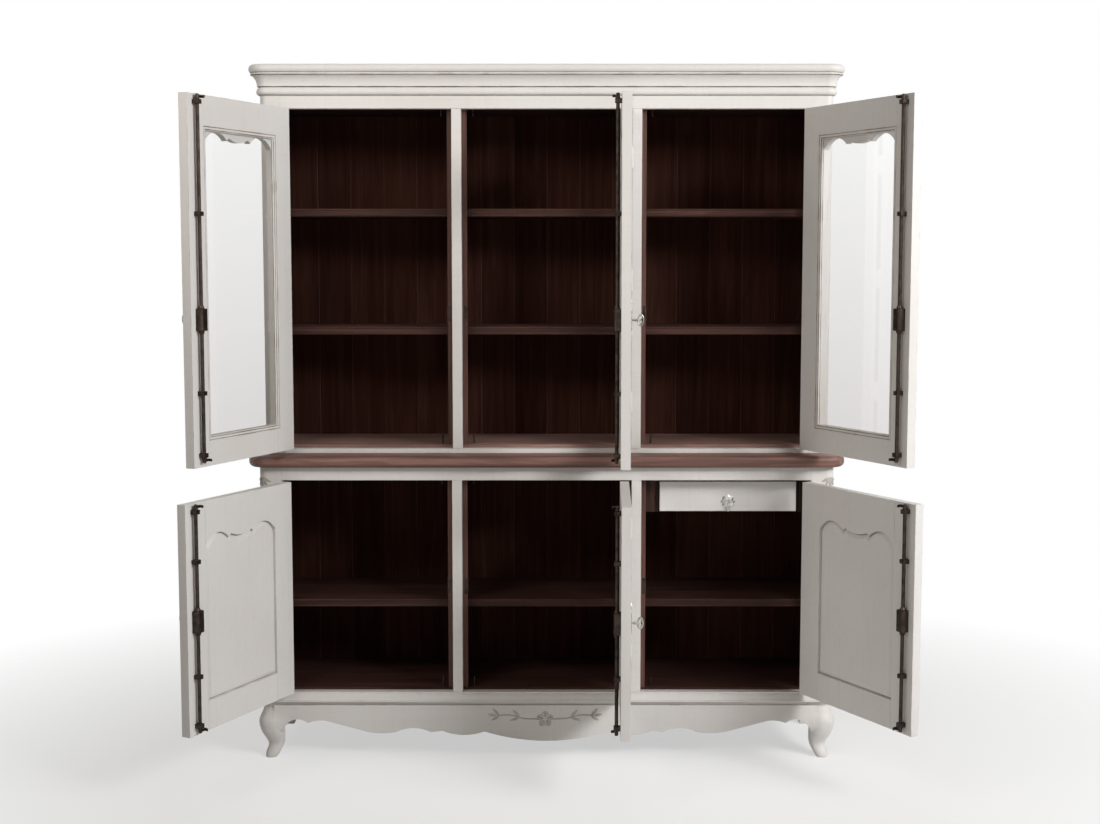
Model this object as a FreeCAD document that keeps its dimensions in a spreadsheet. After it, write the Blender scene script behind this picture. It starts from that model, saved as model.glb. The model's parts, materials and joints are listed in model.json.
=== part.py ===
import FreeCAD, Part
import math
import os
from types import SimpleNamespace

import Sketcher
from FreeCAD import Placement, Rotation, Vector

# A two-piece buffet hutch: a glazed upper cabinet on a panelled lower one, three bays wide.
# Millimetres and degrees. X runs to the right, Y to the back, Z up from the floor. The doors are
# drawn shut about their hinge axes and then swung to the angles at which they stand open.

# Driving dimensions
DRIVING = {
    # plan of both cabinets
    "face_y": 57,
    "bay_width": 506,
    "mullion_width": 29,
    "frame_thick": 28,
    "upper_setback": 55,
    "body_depth": 395,
    "upper_stile": 59,
    "lower_stile": 69,
    "upper_corner": 20,
    "lower_corner": 26,
    "side_thick": 20,
    "divider_thick": 20,
    "back_thick": 12,
    "back_board": 103,
    "back_groove": 4,
    "strip_proud": 15,
    "strip_thick": 16,
    # heights from the floor up
    "leg_height": 165,
    "bottom_rail": 40,
    "lower_opening": 643,
    "top_rail": 40,
    "counter_thick": 35,
    "sill_rail": 13,
    "upper_opening": 1009,
    "frieze": 37,
    "cornice_height": 90,
    # boards inside
    "floor_step_upper": 10,
    "floor_step_lower": 6,
    "lower_floor_thick": 20,
    "ceiling_step": 5,
    "top_board": 20,
    "shelf_thick": 24,
    "shelf_setback": 60,
    "upper_shelf_pitch": 354,
    "lower_shelf_height": 266,
    # counter, cornice and waist moulding
    "counter_overhang": 32,
    "counter_nose": 30,
    "counter_corner": 60,
    "counter_round": 15,
    "cornice_recess_under": 10,
    "cornice_lip": 2,
    "cornice_cavetto": 11,
    "cornice_bead": 12.7,
    "cornice_bead_seat": 6,
    "cornice_bead_out": 10,
    "cornice_quirk": 7.3,
    "cornice_quirk_out": 5,
    "cornice_cove": 25.5,
    "cornice_cove_seat": 9,
    "cornice_cove_out": 26,
    "cornice_cove_sag": 4,
    "cornice_step": 7,
    "cornice_step_out": 29,
    "cornice_fillet": 10.3,
    "cornice_fillet_out": 31,
    "cornice_overhang": 33,
    "waist_height": 23,
    "waist_drop": 5,
    "waist_overhang": 14,
    "waist_lip": 5,
    "waist_chamfer": 3,
    "waist_sag": 2,
    "waist_top_out": 1.5,
    # legs and aprons
    "leg_inset": 35,
    "ankle_height": 40,
    "ankle_radius": 24,
    "toe_height": 12,
    "toe_radius": 21.5,
    "toe_reach": 10,
    "foot_radius": 17,
    "foot_reach": 13,
    "calf_height": 80,
    "calf_radius": 33,
    "calf_reach": 6.5,
    "knee_height": 115,
    "knee_radius": 37,
    "knee_reach": 11,
    "shoulder_height": 142,
    "shoulder_radius": 34.5,
    "shoulder_reach": 5.5,
    "leg_top_radius": 32,
    "rear_leg_top": 50,
    "rear_leg_foot": 36,
    "apron_thick": 24,
    "apron_proud": 4,
    "lobe_half": 188,
    "lobe_drop": 110,
    "lobe_cusp": 81,
    "leaf_end": 315,
    "leaf_drop": 92,
    "leaf_cusp": 79,
    "arch_start": 350,
    "arch_end": 455,
    "arch_cusp": 83,
    "arch_top": 70.5,
    "side_lobe_drop": 86.5,
    "slope_start": 238,
    "slope_end": 123,
    "slope_drop": 48,
    "end_cusp": 69,
    "end_cusp_drop": 55,
    "end_arch_top": 44,
    "apron_end": 66,
    "side_apron_thick": 20,
    "side_apron_end": 66,
    "side_apron_arch": 38,
    # doors
    "hinge_gap": 3,
    "closing_gap": 2,
    "door_clear": 2,
    "door_thick": 27,
    "door_stile": 86,
    "door_bottom_rail": 82,
    "door_top_rail": 95,
    "rebate_width": 13,
    "rebate_depth": 10,
    "glass_thick": 4,
    "arch_fall": 31,
    "arch_peak": 112,
    "cusp_half": 57,
    "cusp_drop": 20,
    "tongue_half": 47,
    "tongue_rise": 12,
    "tongue_drop": 22,
    "panel_groove": 12,
    "panel_groove_depth": 4,
    "panel_face_recess": 3,
    # hinges
    "hinge_standoff": 7,
    "hinge_height": 60,
    "hinge_inset": 110,
    "hinge_leaf": 22,
    "leaf_thick": 1.2,
    "knuckle_radius": 5,
    "knuckle_gap": 0.3,
    "pin_radius": 2.5,
    "running_clearance": 0.05,
    # bolt rods, locks and keys
    "rod_inset": 31,
    "rod_standoff": 11,
    "rod_radius": 5,
    "rod_end": 5,
    "hook_thick": 7,
    "hook_width": 7,
    "hook_inner": 17,
    "hook_outer": 21,
    "hook_inset_top": 8,
    "hook_inset_upper": 20,
    "hook_inset_lower": 14,
    "guide_width": 18,
    "guide_height": 12,
    "guide_depth": 19,
    "end_guide_gap": 14,
    "upper_lock_height": 402,
    "upper_guide_above": 284,
    "upper_guide_below": 199,
    "lower_lock_height": 316,
    "lower_guide_above": 165,
    "lower_guide_below": 152,
    "lock_width": 34,
    "lock_height": 60,
    "lock_depth": 20,
    "lock_lead": 12,
    "key_offset": 13,
    "key_radius": 2.6,
    "key_hole": 4,
    "key_reach": 14,
    "key_seat": 6,
    "bow_height": 33,
    "bow_depth": 17,
    "bow_wall": 3.5,
    "bow_thick": 3.5,
    "key_collar": 4,
    "collar_radius": 4.4,
    "escutcheon_height": 110,
    "escutcheon_width": 22,
    "escutcheon_thick": 2.5,
    "catch_reach": 14,
    "catch_radius": 2.5,
    "floor_catch": 28,
    "ceiling_catch": 23,
    "strike_height": 50,
    "strike_width": 12,
    "strike_thick": 1.5,
    # drawer in the right bay
    "drawer_left": 58,
    "drawer_width": 410,
    "drawer_setback": 47,
    "drawer_drop": 10,
    "drawer_height": 90,
    "drawer_front": 18,
    "drawer_side": 10,
    "drawer_side_height": 80,
    "drawer_floor": 6,
    "drawer_back_gap": 28,
    "drawer_clear": 0.4,
    "guide_board": 12,
    "ledge_height": 10,
    "ledge_width": 10,
    "filler_thick": 15,
    "pull_height": 30,
    "rosette_radius": 14,
    "rosette_thick": 4,
    "pull_standoff": 9,
    "ear_thick": 1.5,
    "ear_radius": 3,
    "pull_pin": 1.5,
    "eye_radius": 3.2,
    "eye_width": 6,
    "eye_gap": 0.3,
    "drop_length": 26,
    "drop_radius": 4.5,
    "drop_neck": 1.8,
}

# Angles in degrees at which the doors stand open
OPEN_ANGLES = {
    "upper_left_angle": 113,
    "upper_middle_angle": 88,
    "upper_right_angle": 116,
    "lower_left_angle": 115,
    "lower_middle_angle": 88,
    "lower_right_angle": 118,
}

doc = FreeCAD.newDocument("buffet_hutch")
sheet = doc.addObject("Spreadsheet::Sheet", "sizes")
cells = {**DRIVING, **OPEN_ANGLES}
for row, (alias, amount) in enumerate(cells.items(), start=1):
    sheet.set(f"A{row}", alias)
    sheet.set(f"B{row}", str(amount))
    sheet.setAlias(f"B{row}", alias)
doc.recompute()


class Size:
    """A length or an angle, with the formula that gives it from the sheet."""

    def __init__(self, formula, amount):
        self.formula = formula
        self.amount = amount

    def __float__(self):
        return self.amount

    def __add__(self, other):
        return Size(f"({self.formula} + {formula_of(other)})", self.amount + float(other))

    def __sub__(self, other):
        return Size(f"({self.formula} - {formula_of(other)})", self.amount - float(other))

    def __mul__(self, other):
        return Size(f"({self.formula} * {formula_of(other)})", self.amount * float(other))

    def __truediv__(self, other):
        return Size(f"({self.formula} / {formula_of(other)})", self.amount / float(other))

    def __rsub__(self, other):
        return Size(f"({formula_of(other)} - {self.formula})", float(other) - self.amount)

    def __neg__(self):
        return Size(f"(-{self.formula})", -self.amount)

    __radd__ = __add__
    __rmul__ = __mul__


def formula_of(size):
    return size.formula if isinstance(size, Size) else repr(float(size))


def root(size):
    return Size(f"sqrt({size.formula})", math.sqrt(size.amount))


# two points closer than this are one
TOUCHING = 1e-6
# how far a quarter round's middle lies in from both of its sides, as a share of its radius
ROUND_INSET = 1 - math.sqrt(0.5)

S = SimpleNamespace(**{alias: Size(f"sizes.{alias}", float(sheet.get(alias))) for alias in cells})
ZERO = S.face_y - S.face_y
nodes = []


def node(thing, label):
    """Names a finished sub-part and lists it for export."""
    thing.Label = label
    nodes.append(thing)
    return thing


def bind(thing, name, size):
    thing.setExpression(name, formula_of(size))


def put(thing, x, y, z):
    for axis, size in zip("xyz", (x, y, z)):
        bind(thing, f"Placement.Base.{axis}", size)
    return thing


def box(low, high):
    """A board between two opposite corners."""
    board = doc.addObject("Part::Box", "board")
    for side, start, end in zip(("Length", "Width", "Height"), low, high):
        bind(board, side, end - start)
    return put(board, *low)


def sided(side, low, high):
    """A board on the right, or its mirror image on the left."""
    if side < 0:
        low, high = (-high[0], *low[1:]), (-low[0], *high[1:])
    return box(low, high)


TURNS = {
    "x": Rotation(Vector(0, 1, 0), 90),
    "y": Rotation(Vector(1, 0, 0), -90),
    "z": Rotation(),
}


def cylinder(axis, start, radius, length):
    rod = doc.addObject("Part::Cylinder", "round")
    bind(rod, "Radius", radius)
    bind(rod, "Height", length)
    rod.Placement = Placement(Vector(), TURNS[axis])
    return put(rod, *start)


def cut(base, *tools):
    for tool in tools:
        result = doc.addObject("Part::Cut", "cut")
        result.Base = base
        result.Tool = tool
        base = result
    return base


def fuse(*pieces):
    result = doc.addObject("Part::MultiFuse", "joined")
    result.Shapes = list(pieces)
    return result


def group(*pieces):
    result = doc.addObject("Part::Compound", "group")
    result.Links = list(pieces)
    return result


def feature(shape):
    piece = doc.addObject("Part::Feature", "form")
    piece.Shape = shape
    return piece


def flat(point):
    return Vector(float(point[0]), float(point[1]), 0)


def draw_edge(sketch, start, step):
    """Adds a line, or an arc through a middle point; returns its number and its two end codes."""
    end = step[-1]
    if len(step) == 1:
        return sketch.addGeometry(Part.LineSegment(flat(start), flat(end))), 1, 2
    circle = Part.Circle(flat(start), flat(step[0]), flat(end))
    centre = circle.Center
    rays = [flat(point) - centre for point in (start, *step)]
    first, middle, last = (math.atan2(ray.y, ray.x) for ray in rays)
    full = 2 * math.pi
    forward = (middle - first) % full < (last - first) % full
    low, high = (first, last) if forward else (last, first)
    upright = Part.Circle(centre, Vector(0, 0, 1), circle.Radius)
    number = sketch.addGeometry(Part.ArcOfCircle(upright, low, low + (high - low) % full))
    return (number, 1, 2) if forward else (number, 2, 1)


def fix_point(sketch, number, code, point):
    """Ties a point of the sketch to the sizes that place it."""
    for kind, axis, size in (("DistanceX", -2, point[0]), ("DistanceY", -1, point[1])):
        if abs(float(size)) < TOUCHING:
            sketch.addConstraint(Sketcher.Constraint("PointOnObject", number, code, axis))
        else:
            at = sketch.addConstraint(Sketcher.Constraint(kind, -1, 1, number, code, float(size)))
            sketch.setExpression(f"Constraints[{at}]", formula_of(size))


def draw(sketch, outline):
    """A closed outline: each step ends at a corner, and an arc's step passes its middle point first."""
    corners = [step[-1] for step in outline]
    edges = [draw_edge(sketch, corners[n - 1], step) for n, step in enumerate(outline)]
    for n, (number, _, end) in enumerate(edges):
        following, begin, _ = edges[(n + 1) % len(edges)]
        sketch.addConstraint(Sketcher.Constraint("Coincident", number, end, following, begin))
        fix_point(sketch, number, end, corners[n])
    for (number, _, _), step in zip(edges, outline):
        if len(step) == 2:
            middle = sketch.addGeometry(Part.Point(flat(step[0])), True)
            fix_point(sketch, middle, 1, step[0])
            sketch.addConstraint(Sketcher.Constraint("PointOnObject", middle, 1, number))


def outlined_body(outline, plane):
    body = doc.addObject("PartDesign::Body", "piece")
    sketch = body.newObject("Sketcher::SketchObject", "outline")
    support = next(f for f in body.Origin.OriginFeatures if f.Role == plane)
    sketch.AttachmentSupport = (support, [""])
    sketch.MapMode = "FlatFace"
    draw(sketch, outline)
    return body, sketch


def padded(outline, plane, start, end):
    """A piece with a drawn outline, cut from stock that lies between two depths."""
    body, sketch = outlined_body(outline, plane)
    pad = body.newObject("PartDesign::Pad", "pad")
    pad.Profile = sketch
    bind(pad, "Length", end - start)
    pad.Reversed = plane == "XZ_Plane"
    normal = {"XY_Plane": "z", "XZ_Plane": "y", "YZ_Plane": "x"}[plane]
    bind(body, f"Placement.Base.{normal}", start)
    return body


def turned(outline, side, x, y):
    """A quarter turn of a moulding's profile about an upright axis, to the right or the left."""
    body, sketch = outlined_body(outline, "YZ_Plane")
    turn = body.newObject("PartDesign::Revolution", "turn")
    turn.Profile = sketch
    turn.ReferenceAxis = (sketch, ["V_Axis"])
    turn.Angle = 90
    turn.Reversed = side < 0
    bind(body, "Placement.Base.x", x)
    bind(body, "Placement.Base.y", y)
    return body


# Levels and planes worked out from the driving dimensions
bay_centres = (-(S.bay_width + S.mullion_width), ZERO, S.bay_width + S.mullion_width)
half_opening = S.bay_width * 1.5 + S.mullion_width
mullion_centre = (S.bay_width + S.mullion_width) / 2
back_inner = S.face_y + S.body_depth - S.back_thick
back_outer = S.face_y + S.body_depth


def cabinet(face, opening_low, opening_height, stile, corner, floor_step):
    level = SimpleNamespace(face=face, low=opening_low, high=opening_low + opening_height)
    level.half = half_opening + stile
    level.corner = corner
    level.inside = face + S.frame_thick
    level.wall = level.half - S.side_thick
    level.floor = level.low + floor_step
    level.ceiling = level.high + S.ceiling_step
    return level


lower = cabinet(S.face_y, S.leg_height + S.bottom_rail, S.lower_opening, S.lower_stile, S.lower_corner,
                S.floor_step_lower)
counter_low = lower.high + S.top_rail
counter_top = counter_low + S.counter_thick
upper = cabinet(S.face_y + S.upper_setback, counter_top + S.sill_rail, S.upper_opening, S.upper_stile,
                S.upper_corner, S.floor_step_upper)
cornice_low = upper.high + S.frieze
cornice_top = cornice_low + S.cornice_height
upper_frame_top = cornice_top - S.cornice_recess_under
lower.frame = (S.leg_height, counter_low)
upper.frame = (counter_top, upper_frame_top)


def face_frame(level, label):
    """Corner stiles with rounded outer edges, mullions between the rails, and two rails."""
    pieces = []
    for side in (-1, 1):
        inner = half_opening * side
        straight = (level.half - level.corner) * side
        outer = level.half * side
        inset = level.corner * ROUND_INSET
        outline = [
            ((inner, level.inside),),
            ((inner, level.face),),
            ((straight, level.face),),
            ((outer - inset * side, level.face + inset), (outer, level.face + level.corner)),
            ((outer, level.inside),),
        ]
        pieces.append(padded(outline, "XY_Plane", *level.frame))
        low = (mullion_centre - S.mullion_width / 2, level.face, level.low)
        high = (mullion_centre + S.mullion_width / 2, level.inside, level.high)
        pieces.append(sided(side, low, high))
    for low, high in ((level.frame[0], level.low), (level.high, level.frame[1])):
        pieces.append(box((-half_opening, level.face, low), (half_opening, level.inside, high)))
    return node(group(*pieces), label)


def side_panels(level, label):
    walls = [
        sided(side, (level.wall, level.inside, level.frame[0]), (level.half, back_outer, level.frame[1]))
        for side in (-1, 1)
    ]
    return node(group(*walls), label)


def across(level, low, high, label):
    """A board that fills the cabinet from wall to wall, behind the face frame."""
    return node(box((-level.wall, level.inside, low), (level.wall, back_inner, high)), label)


def back_boards(level, low, high, label):
    """Upright tongue and groove boards with a V groove at each joint."""
    count = max(1, round(2 * float(level.wall / S.back_board)))
    width = level.wall * 2 / count
    boards = []
    for number in range(count):
        left = -level.wall + width * number
        outline = [
            ((left, back_outer),),
            ((left, back_inner + S.back_groove),),
            ((left + S.back_groove, back_inner),),
            ((left + width - S.back_groove, back_inner),),
            ((left + width, back_inner + S.back_groove),),
            ((left + width, back_outer),),
        ]
        boards.append(padded(outline, "XY_Plane", low, high))
    return node(group(*boards), label)


def dividers(level, label):
    panels = []
    for side in (-1, 1):
        low = (mullion_centre - S.divider_thick / 2, level.inside + S.strip_thick, level.floor)
        high = (mullion_centre + S.divider_thick / 2, back_inner, level.ceiling)
        panels.append(sided(side, low, high))
    return node(group(*panels), label)


def shelves(level, tops, label):
    """A board in each bay at each height, from wall or divider to divider."""
    inner = mullion_centre - S.divider_thick / 2
    outer = mullion_centre + S.divider_thick / 2
    front = level.face + S.shelf_setback
    boards = []
    for top in tops:
        for left, right in ((-level.wall, -outer), (-inner, inner), (outer, level.wall)):
            boards.append(box((left, front, top - S.shelf_thick), (right, back_inner, top)))
    return node(group(*boards), label)


def stop_strips():
    """Boards behind the mullions that stand proud on both sides and stop the doors."""
    strips = []
    reach = S.mullion_width / 2 + S.strip_proud
    for level in (lower, upper):
        for side in (-1, 1):
            low = (mullion_centre - reach, level.inside, level.floor)
            high = (mullion_centre + reach, level.inside + S.strip_thick, level.ceiling)
            strips.append(sided(side, low, high))
    return node(group(*strips), "stop_strips")


def moulding(profile, level, label):
    """A profile run along the front, round both corners and back along the sides."""
    straight = level.half - level.corner

    def swept(place):
        return [tuple((place(out), up) for out, up in step) for step in profile]

    pieces = [padded(swept(lambda out: level.face - out), "YZ_Plane", -straight, straight)]
    for side in (-1, 1):
        corner = swept(lambda out: -(level.corner + out))
        pieces.append(turned(corner, side, straight * side, level.face + level.corner))
        run = swept(lambda out: (level.half + out) * side)
        pieces.append(padded(run, "XZ_Plane", level.face + level.corner, back_outer))
    return node(group(*pieces), label)


def hollow(start, end, sag):
    """An arc's step that sinks in towards the cabinet between two corners of a moulding's profile."""
    middle = ((start[0] + end[0]) / 2 - sag, (start[1] + end[1]) / 2 + sag)
    return (middle, end)


def cornice():
    """From the frieze up: cavetto, bead, quirk, cove, step, fillet and a rounded crown."""
    levels = [cornice_low]
    for height in (S.cornice_cavetto, S.cornice_bead, S.cornice_quirk, S.cornice_cove, S.cornice_step,
                   S.cornice_fillet):
        levels.append(levels[-1] + height)
    low, bead_low, bead_top, cove_low, cove_top, fillet_low, fillet_top = levels
    cove_start = (S.cornice_cove_seat, cove_low)
    profile = [
        ((ZERO, cornice_top),),
        ((ZERO, low),),
        ((S.cornice_lip, low),),
        ((S.cornice_bead_seat, bead_low),),
        ((S.cornice_bead_out, (bead_low + bead_top) / 2), (S.cornice_bead_seat, bead_top)),
        ((S.cornice_quirk_out, bead_top),),
        ((S.cornice_quirk_out, cove_low),),
        (cove_start,),
        hollow(cove_start, (S.cornice_cove_out, cove_top), S.cornice_cove_sag),
        ((S.cornice_step_out, fillet_low),),
        ((S.cornice_fillet_out, fillet_low),),
        ((S.cornice_fillet_out, fillet_top),),
        ((S.cornice_step_out, fillet_top),),
        ((S.cornice_overhang, (fillet_top + cornice_top) / 2), (S.cornice_step_out, cornice_top)),
    ]
    return moulding(profile, upper, "cornice")


def waist_moulding():
    """A sloping moulding with a square lower edge, round the foot of the lower cabinet."""
    top = lower.low - S.waist_drop
    low = top - S.waist_height
    slope = (S.waist_overhang - S.waist_chamfer, low + S.waist_lip + S.waist_chamfer)
    profile = [
        ((ZERO, top),),
        ((ZERO, low),),
        ((S.waist_overhang, low),),
        ((S.waist_overhang, low + S.waist_lip),),
        (slope,),
        hollow(slope, (S.waist_top_out, top), -S.waist_sag),
    ]
    return moulding(profile, lower, "waist_moulding")


def countertop():
    """A thick board with rounded front corners and a rounded nose."""
    half = lower.half + S.counter_overhang
    front = S.face_y - S.counter_nose
    corner = S.counter_corner
    inset = corner * ROUND_INSET
    outline = [
        ((-half, back_outer),),
        ((-half, front + corner),),
        ((-half + inset, front + inset), (-half + corner, front)),
        ((half - corner, front),),
        ((half - inset, front + inset), (half, front + corner)),
        ((half, back_outer),),
    ]
    body = padded(outline, "XY_Plane", counter_low, counter_top)
    doc.recompute()
    pad = body.Tip
    behind = float(back_outer) - TOUCHING
    edges = []
    for number, edge in enumerate(pad.Shape.Edges, start=1):
        level_edge = abs(edge.Vertexes[0].Z - edge.Vertexes[-1].Z) < TOUCHING
        if level_edge and min(vertex.Y for vertex in edge.Vertexes) < behind:
            edges.append(f"Edge{number}")
    nose = body.newObject("PartDesign::Fillet", "nose")
    nose.Base = (pad, edges)
    bind(nose, "Radius", S.counter_round)
    return node(body, "countertop")


def front_apron():
    """A board below the waist with a scalloped lower edge, let in behind the knees of the front legs."""
    top = S.leg_height
    leg = lower.half - S.leg_inset
    knee = leg - S.leg_top_radius

    def out(reach, drop):
        return (reach, top - drop)

    def back(reach, drop):
        return (knee - reach, top - drop)

    # the lower edge from the middle outwards: a wide lobe, a leaf, an arch, a lobe, a slope and two arches
    edge = [
        (out(ZERO, S.lobe_drop), out(S.lobe_half, S.lobe_cusp)),
        (out((S.lobe_half + S.leaf_end) / 2, S.leaf_drop), out(S.leaf_end, S.leaf_cusp)),
        (out(S.arch_start, S.arch_cusp),),
        (out((S.arch_start + S.arch_end) / 2, S.arch_top), out(S.arch_end, S.arch_cusp)),
        (back((S.slope_start + knee - S.arch_end) / 2, S.side_lobe_drop), back(S.slope_start, S.leaf_cusp)),
        (back(S.slope_end, S.slope_drop),),
        (back((S.slope_end + S.end_cusp) / 2, S.slope_drop), back(S.end_cusp, S.end_cusp_drop)),
        (back(S.end_cusp / 2, S.end_arch_top), back(ZERO, S.apron_end)),
    ]
    corners = [step[-1] for step in edge]
    mirrored = []
    for number in range(len(edge) - 1, 0, -1):
        reach, height = corners[number - 1]
        arc = [(-x, z) for x, z in edge[number][:-1]]
        mirrored.append((*arc, (-reach, height)))
    outline = [
        ((leg, corners[-1][1]),),
        ((leg, top),),
        ((-leg, top),),
        ((-leg, corners[-1][1]),),
        ((-knee, corners[-1][1]),),
        *mirrored,
        *edge,
    ]
    front = S.face_y - S.apron_proud
    board = padded(outline, "XZ_Plane", front, front + S.apron_thick)
    return node(cut(board, leg_loft(-1, S.knuckle_gap), leg_loft(1, S.knuckle_gap)), "front_apron")


def side_aprons():
    """Arched boards below the side panels, between the front legs and the rear ones."""
    leg = S.face_y + S.leg_inset
    front = leg + S.leg_top_radius
    back = back_outer - S.rear_leg_top
    top = S.leg_height
    boards = []
    for side in (-1, 1):
        outline = [
            ((leg, top),),
            ((leg, top - S.side_apron_end),),
            ((front, top - S.side_apron_end),),
            (((front + back) / 2, top - S.side_apron_arch), (back, top - S.side_apron_end)),
            ((back, top),),
        ]
        edge = lower.half if side > 0 else -lower.half + S.side_apron_thick
        board = padded(outline, "YZ_Plane", edge - S.side_apron_thick, edge)
        boards.append(cut(board, leg_loft(side, S.knuckle_gap)))
    return node(group(*boards), "side_aprons")


def leg_loft(side, extra):
    """A cabriole leg that curves outwards along the diagonal of its corner, thicker by a given amount."""
    sections = [
        (ZERO, S.foot_radius, S.foot_reach),
        (S.toe_height, S.toe_radius, S.toe_reach),
        (S.ankle_height, S.ankle_radius, ZERO),
        (S.calf_height, S.calf_radius, S.calf_reach),
        (S.knee_height, S.knee_radius, S.knee_reach),
        (S.shoulder_height, S.shoulder_radius, S.shoulder_reach),
        (S.leg_height, S.leg_top_radius, ZERO),
    ]
    rings = []
    for height, radius, reach in sections:
        ring = doc.addObject("Part::Circle", "ring")
        bind(ring, "Radius", radius + extra)
        x = (lower.half - S.leg_inset + reach) * side
        rings.append(put(ring, x, S.face_y + S.leg_inset - reach, height))
    leg = doc.addObject("Part::Loft", "leg")
    leg.Sections = rings
    leg.Solid = True
    return leg


def front_legs():
    return node(group(leg_loft(-1, ZERO), leg_loft(1, ZERO)), "front_legs")


def rear_legs():
    """Square legs under the back corners that taper towards the front and the middle."""
    legs = []
    for side in (-1, 1):
        leg = doc.addObject("Part::Wedge", "leg")
        taper = S.rear_leg_top - S.rear_leg_foot
        inner = (ZERO, S.rear_leg_top) if side > 0 else (-S.rear_leg_top, ZERO)
        foot = (taper, S.rear_leg_top) if side > 0 else (-S.rear_leg_top, -taper)
        for name, size in (
            ("Xmin", foot[0]), ("Xmax", foot[1]), ("Zmin", ZERO), ("Zmax", S.rear_leg_foot),
            ("Ymin", ZERO), ("Ymax", S.leg_height),
            ("X2min", inner[0]), ("X2max", inner[1]), ("Z2min", ZERO), ("Z2max", S.rear_leg_top),
        ):
            bind(leg, name, size)
        leg.Placement = Placement(Vector(), Rotation(Vector(1, 0, 0), 90))
        put(leg, (lower.half - S.rear_leg_top) * side, back_outer, ZERO)
        legs.append(leg)
    return node(group(*legs), "rear_legs")


# Doors: each is drawn about its hinge axis, with x running from the axis to the closing edge
lower.door = SimpleNamespace(lock=S.lower_lock_height, hook=S.hook_inset_lower,
                             above=S.lower_guide_above, below=S.lower_guide_below, hinges=2)
upper.door = SimpleNamespace(lock=S.upper_lock_height, hook=S.hook_inset_upper,
                             above=S.upper_guide_above, below=S.upper_guide_below, hinges=3)
door_near = S.hinge_gap / 2
door_far = door_near + S.bay_width - S.hinge_gap - S.closing_gap
door_front = S.hinge_standoff
door_back = door_front + S.door_thick
rod_x = door_far - S.rod_inset
rod_y = door_back + S.rod_standoff
key_x = rod_x - S.key_offset
hinge_edge = S.bay_width / 2 - S.hinge_gap / 2


def make_doors():
    doors = []
    for level, name in ((upper, "upper"), (lower, "lower")):
        for bay, side, hand in (("left", 0, 1), ("middle", 1, -1), ("right", 2, -1)):
            door = SimpleNamespace(name=f"{name}_{bay}", level=level, hand=hand)
            door.x = bay_centres[side] - hinge_edge * hand
            door.y = level.face - S.hinge_standoff
            door.angle = getattr(S, f"{name}_{bay}_angle") * -hand
            door.low = level.low + S.door_clear
            door.high = level.high - S.door_clear
            door.lock = door.low + level.door.lock
            door.hooks = (door.low + level.door.hook, door.high - S.hook_inset_top)
            doors.append(door)
    return doors


def swing(door, thing, label):
    """Sets a piece of a door on its hinge axis at the angle at which the door stands open."""
    thing.Placement = Placement(Vector(), Rotation(Vector(0, 0, 1), float(door.angle)))
    put(thing, door.x, door.y, ZERO)
    bind(thing, "Placement.Rotation.Angle", door.angle)
    return node(thing, f"{door.name}_{label}")


def scallop(centre, half, peak, hand):
    """A sight edge of two arches with a tongue between their cusps, from the hinge side outwards."""

    def at(along, drop):
        return ((centre + along) * hand, peak - drop)

    return [
        (at(-half, S.arch_fall),),
        (at(-S.arch_peak, ZERO), at(-S.cusp_half, S.cusp_drop)),
        (at(-S.tongue_half, S.tongue_rise),),
        (at(ZERO, S.tongue_drop), at(S.tongue_half, S.tongue_rise)),
        (at(S.cusp_half, S.cusp_drop),),
        (at(S.arch_peak, ZERO), at(half, S.arch_fall)),
    ]


def sight(door):
    """The opening inside a door's stiles and rails."""
    opening = SimpleNamespace(near=door_near + S.door_stile, far=door_far - S.door_stile)
    opening.low = door.low + S.door_bottom_rail
    opening.peak = door.high - S.door_top_rail
    opening.centre = (opening.near + opening.far) / 2
    opening.half = (opening.far - opening.near) / 2
    return opening


def key_bore(door, start, end, radius):
    return cylinder("y", (key_x * door.hand, start, door.lock), radius, end - start)


def door_stiles(door):
    near, far = [
        sided(door.hand, (start, door_front, door.low), (start + S.door_stile, door_back, door.high))
        for start in (door_near, door_far - S.door_stile)
    ]
    return near, cut(far, key_bore(door, door_front, door_back, S.key_hole))


def scalloped_rail(door, opening, back):
    outline = [
        ((opening.far * door.hand, door.high),),
        ((opening.near * door.hand, door.high),),
        *scallop(opening.centre, opening.half, opening.peak, door.hand),
    ]
    return padded(outline, "XZ_Plane", door_front, back)


def glazed_door(door):
    """Rebated stiles and rails; the glass lies in the rebate and beads hold it from inside."""
    opening = sight(door)
    step = door_back - S.rebate_depth
    low = opening.low - S.rebate_width
    high = opening.peak + S.rebate_width
    near = opening.near - S.rebate_width
    far = opening.far + S.rebate_width
    hand = door.hand
    stiles = [
        cut(stile, sided(hand, (start, step, low), (end, door_back, high)))
        for stile, start, end in zip(door_stiles(door), (near, opening.far), (opening.near, far))
    ]
    bottom = cut(
        sided(hand, (opening.near, door_front, door.low), (opening.far, door_back, opening.low)),
        sided(hand, (opening.near, step, low), (opening.far, door_back, opening.low)),
    )
    top = fuse(
        scalloped_rail(door, opening, step),
        sided(hand, (opening.near, step, high), (opening.far, door_back, door.high)),
    )
    bead = step + S.glass_thick
    beads = [
        sided(hand, (near, bead, low), (opening.near, door_back, high)),
        sided(hand, (opening.far, bead, low), (far, door_back, high)),
        sided(hand, (opening.near, bead, low), (opening.far, door_back, opening.low)),
        sided(hand, (opening.near, bead, opening.peak), (opening.far, door_back, high)),
    ]
    swing(door, group(*stiles, bottom, top, *beads), "door_frame")
    swing(door, group(sided(hand, (near, step, low), (far, bead, high))), "door_glass")


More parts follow.
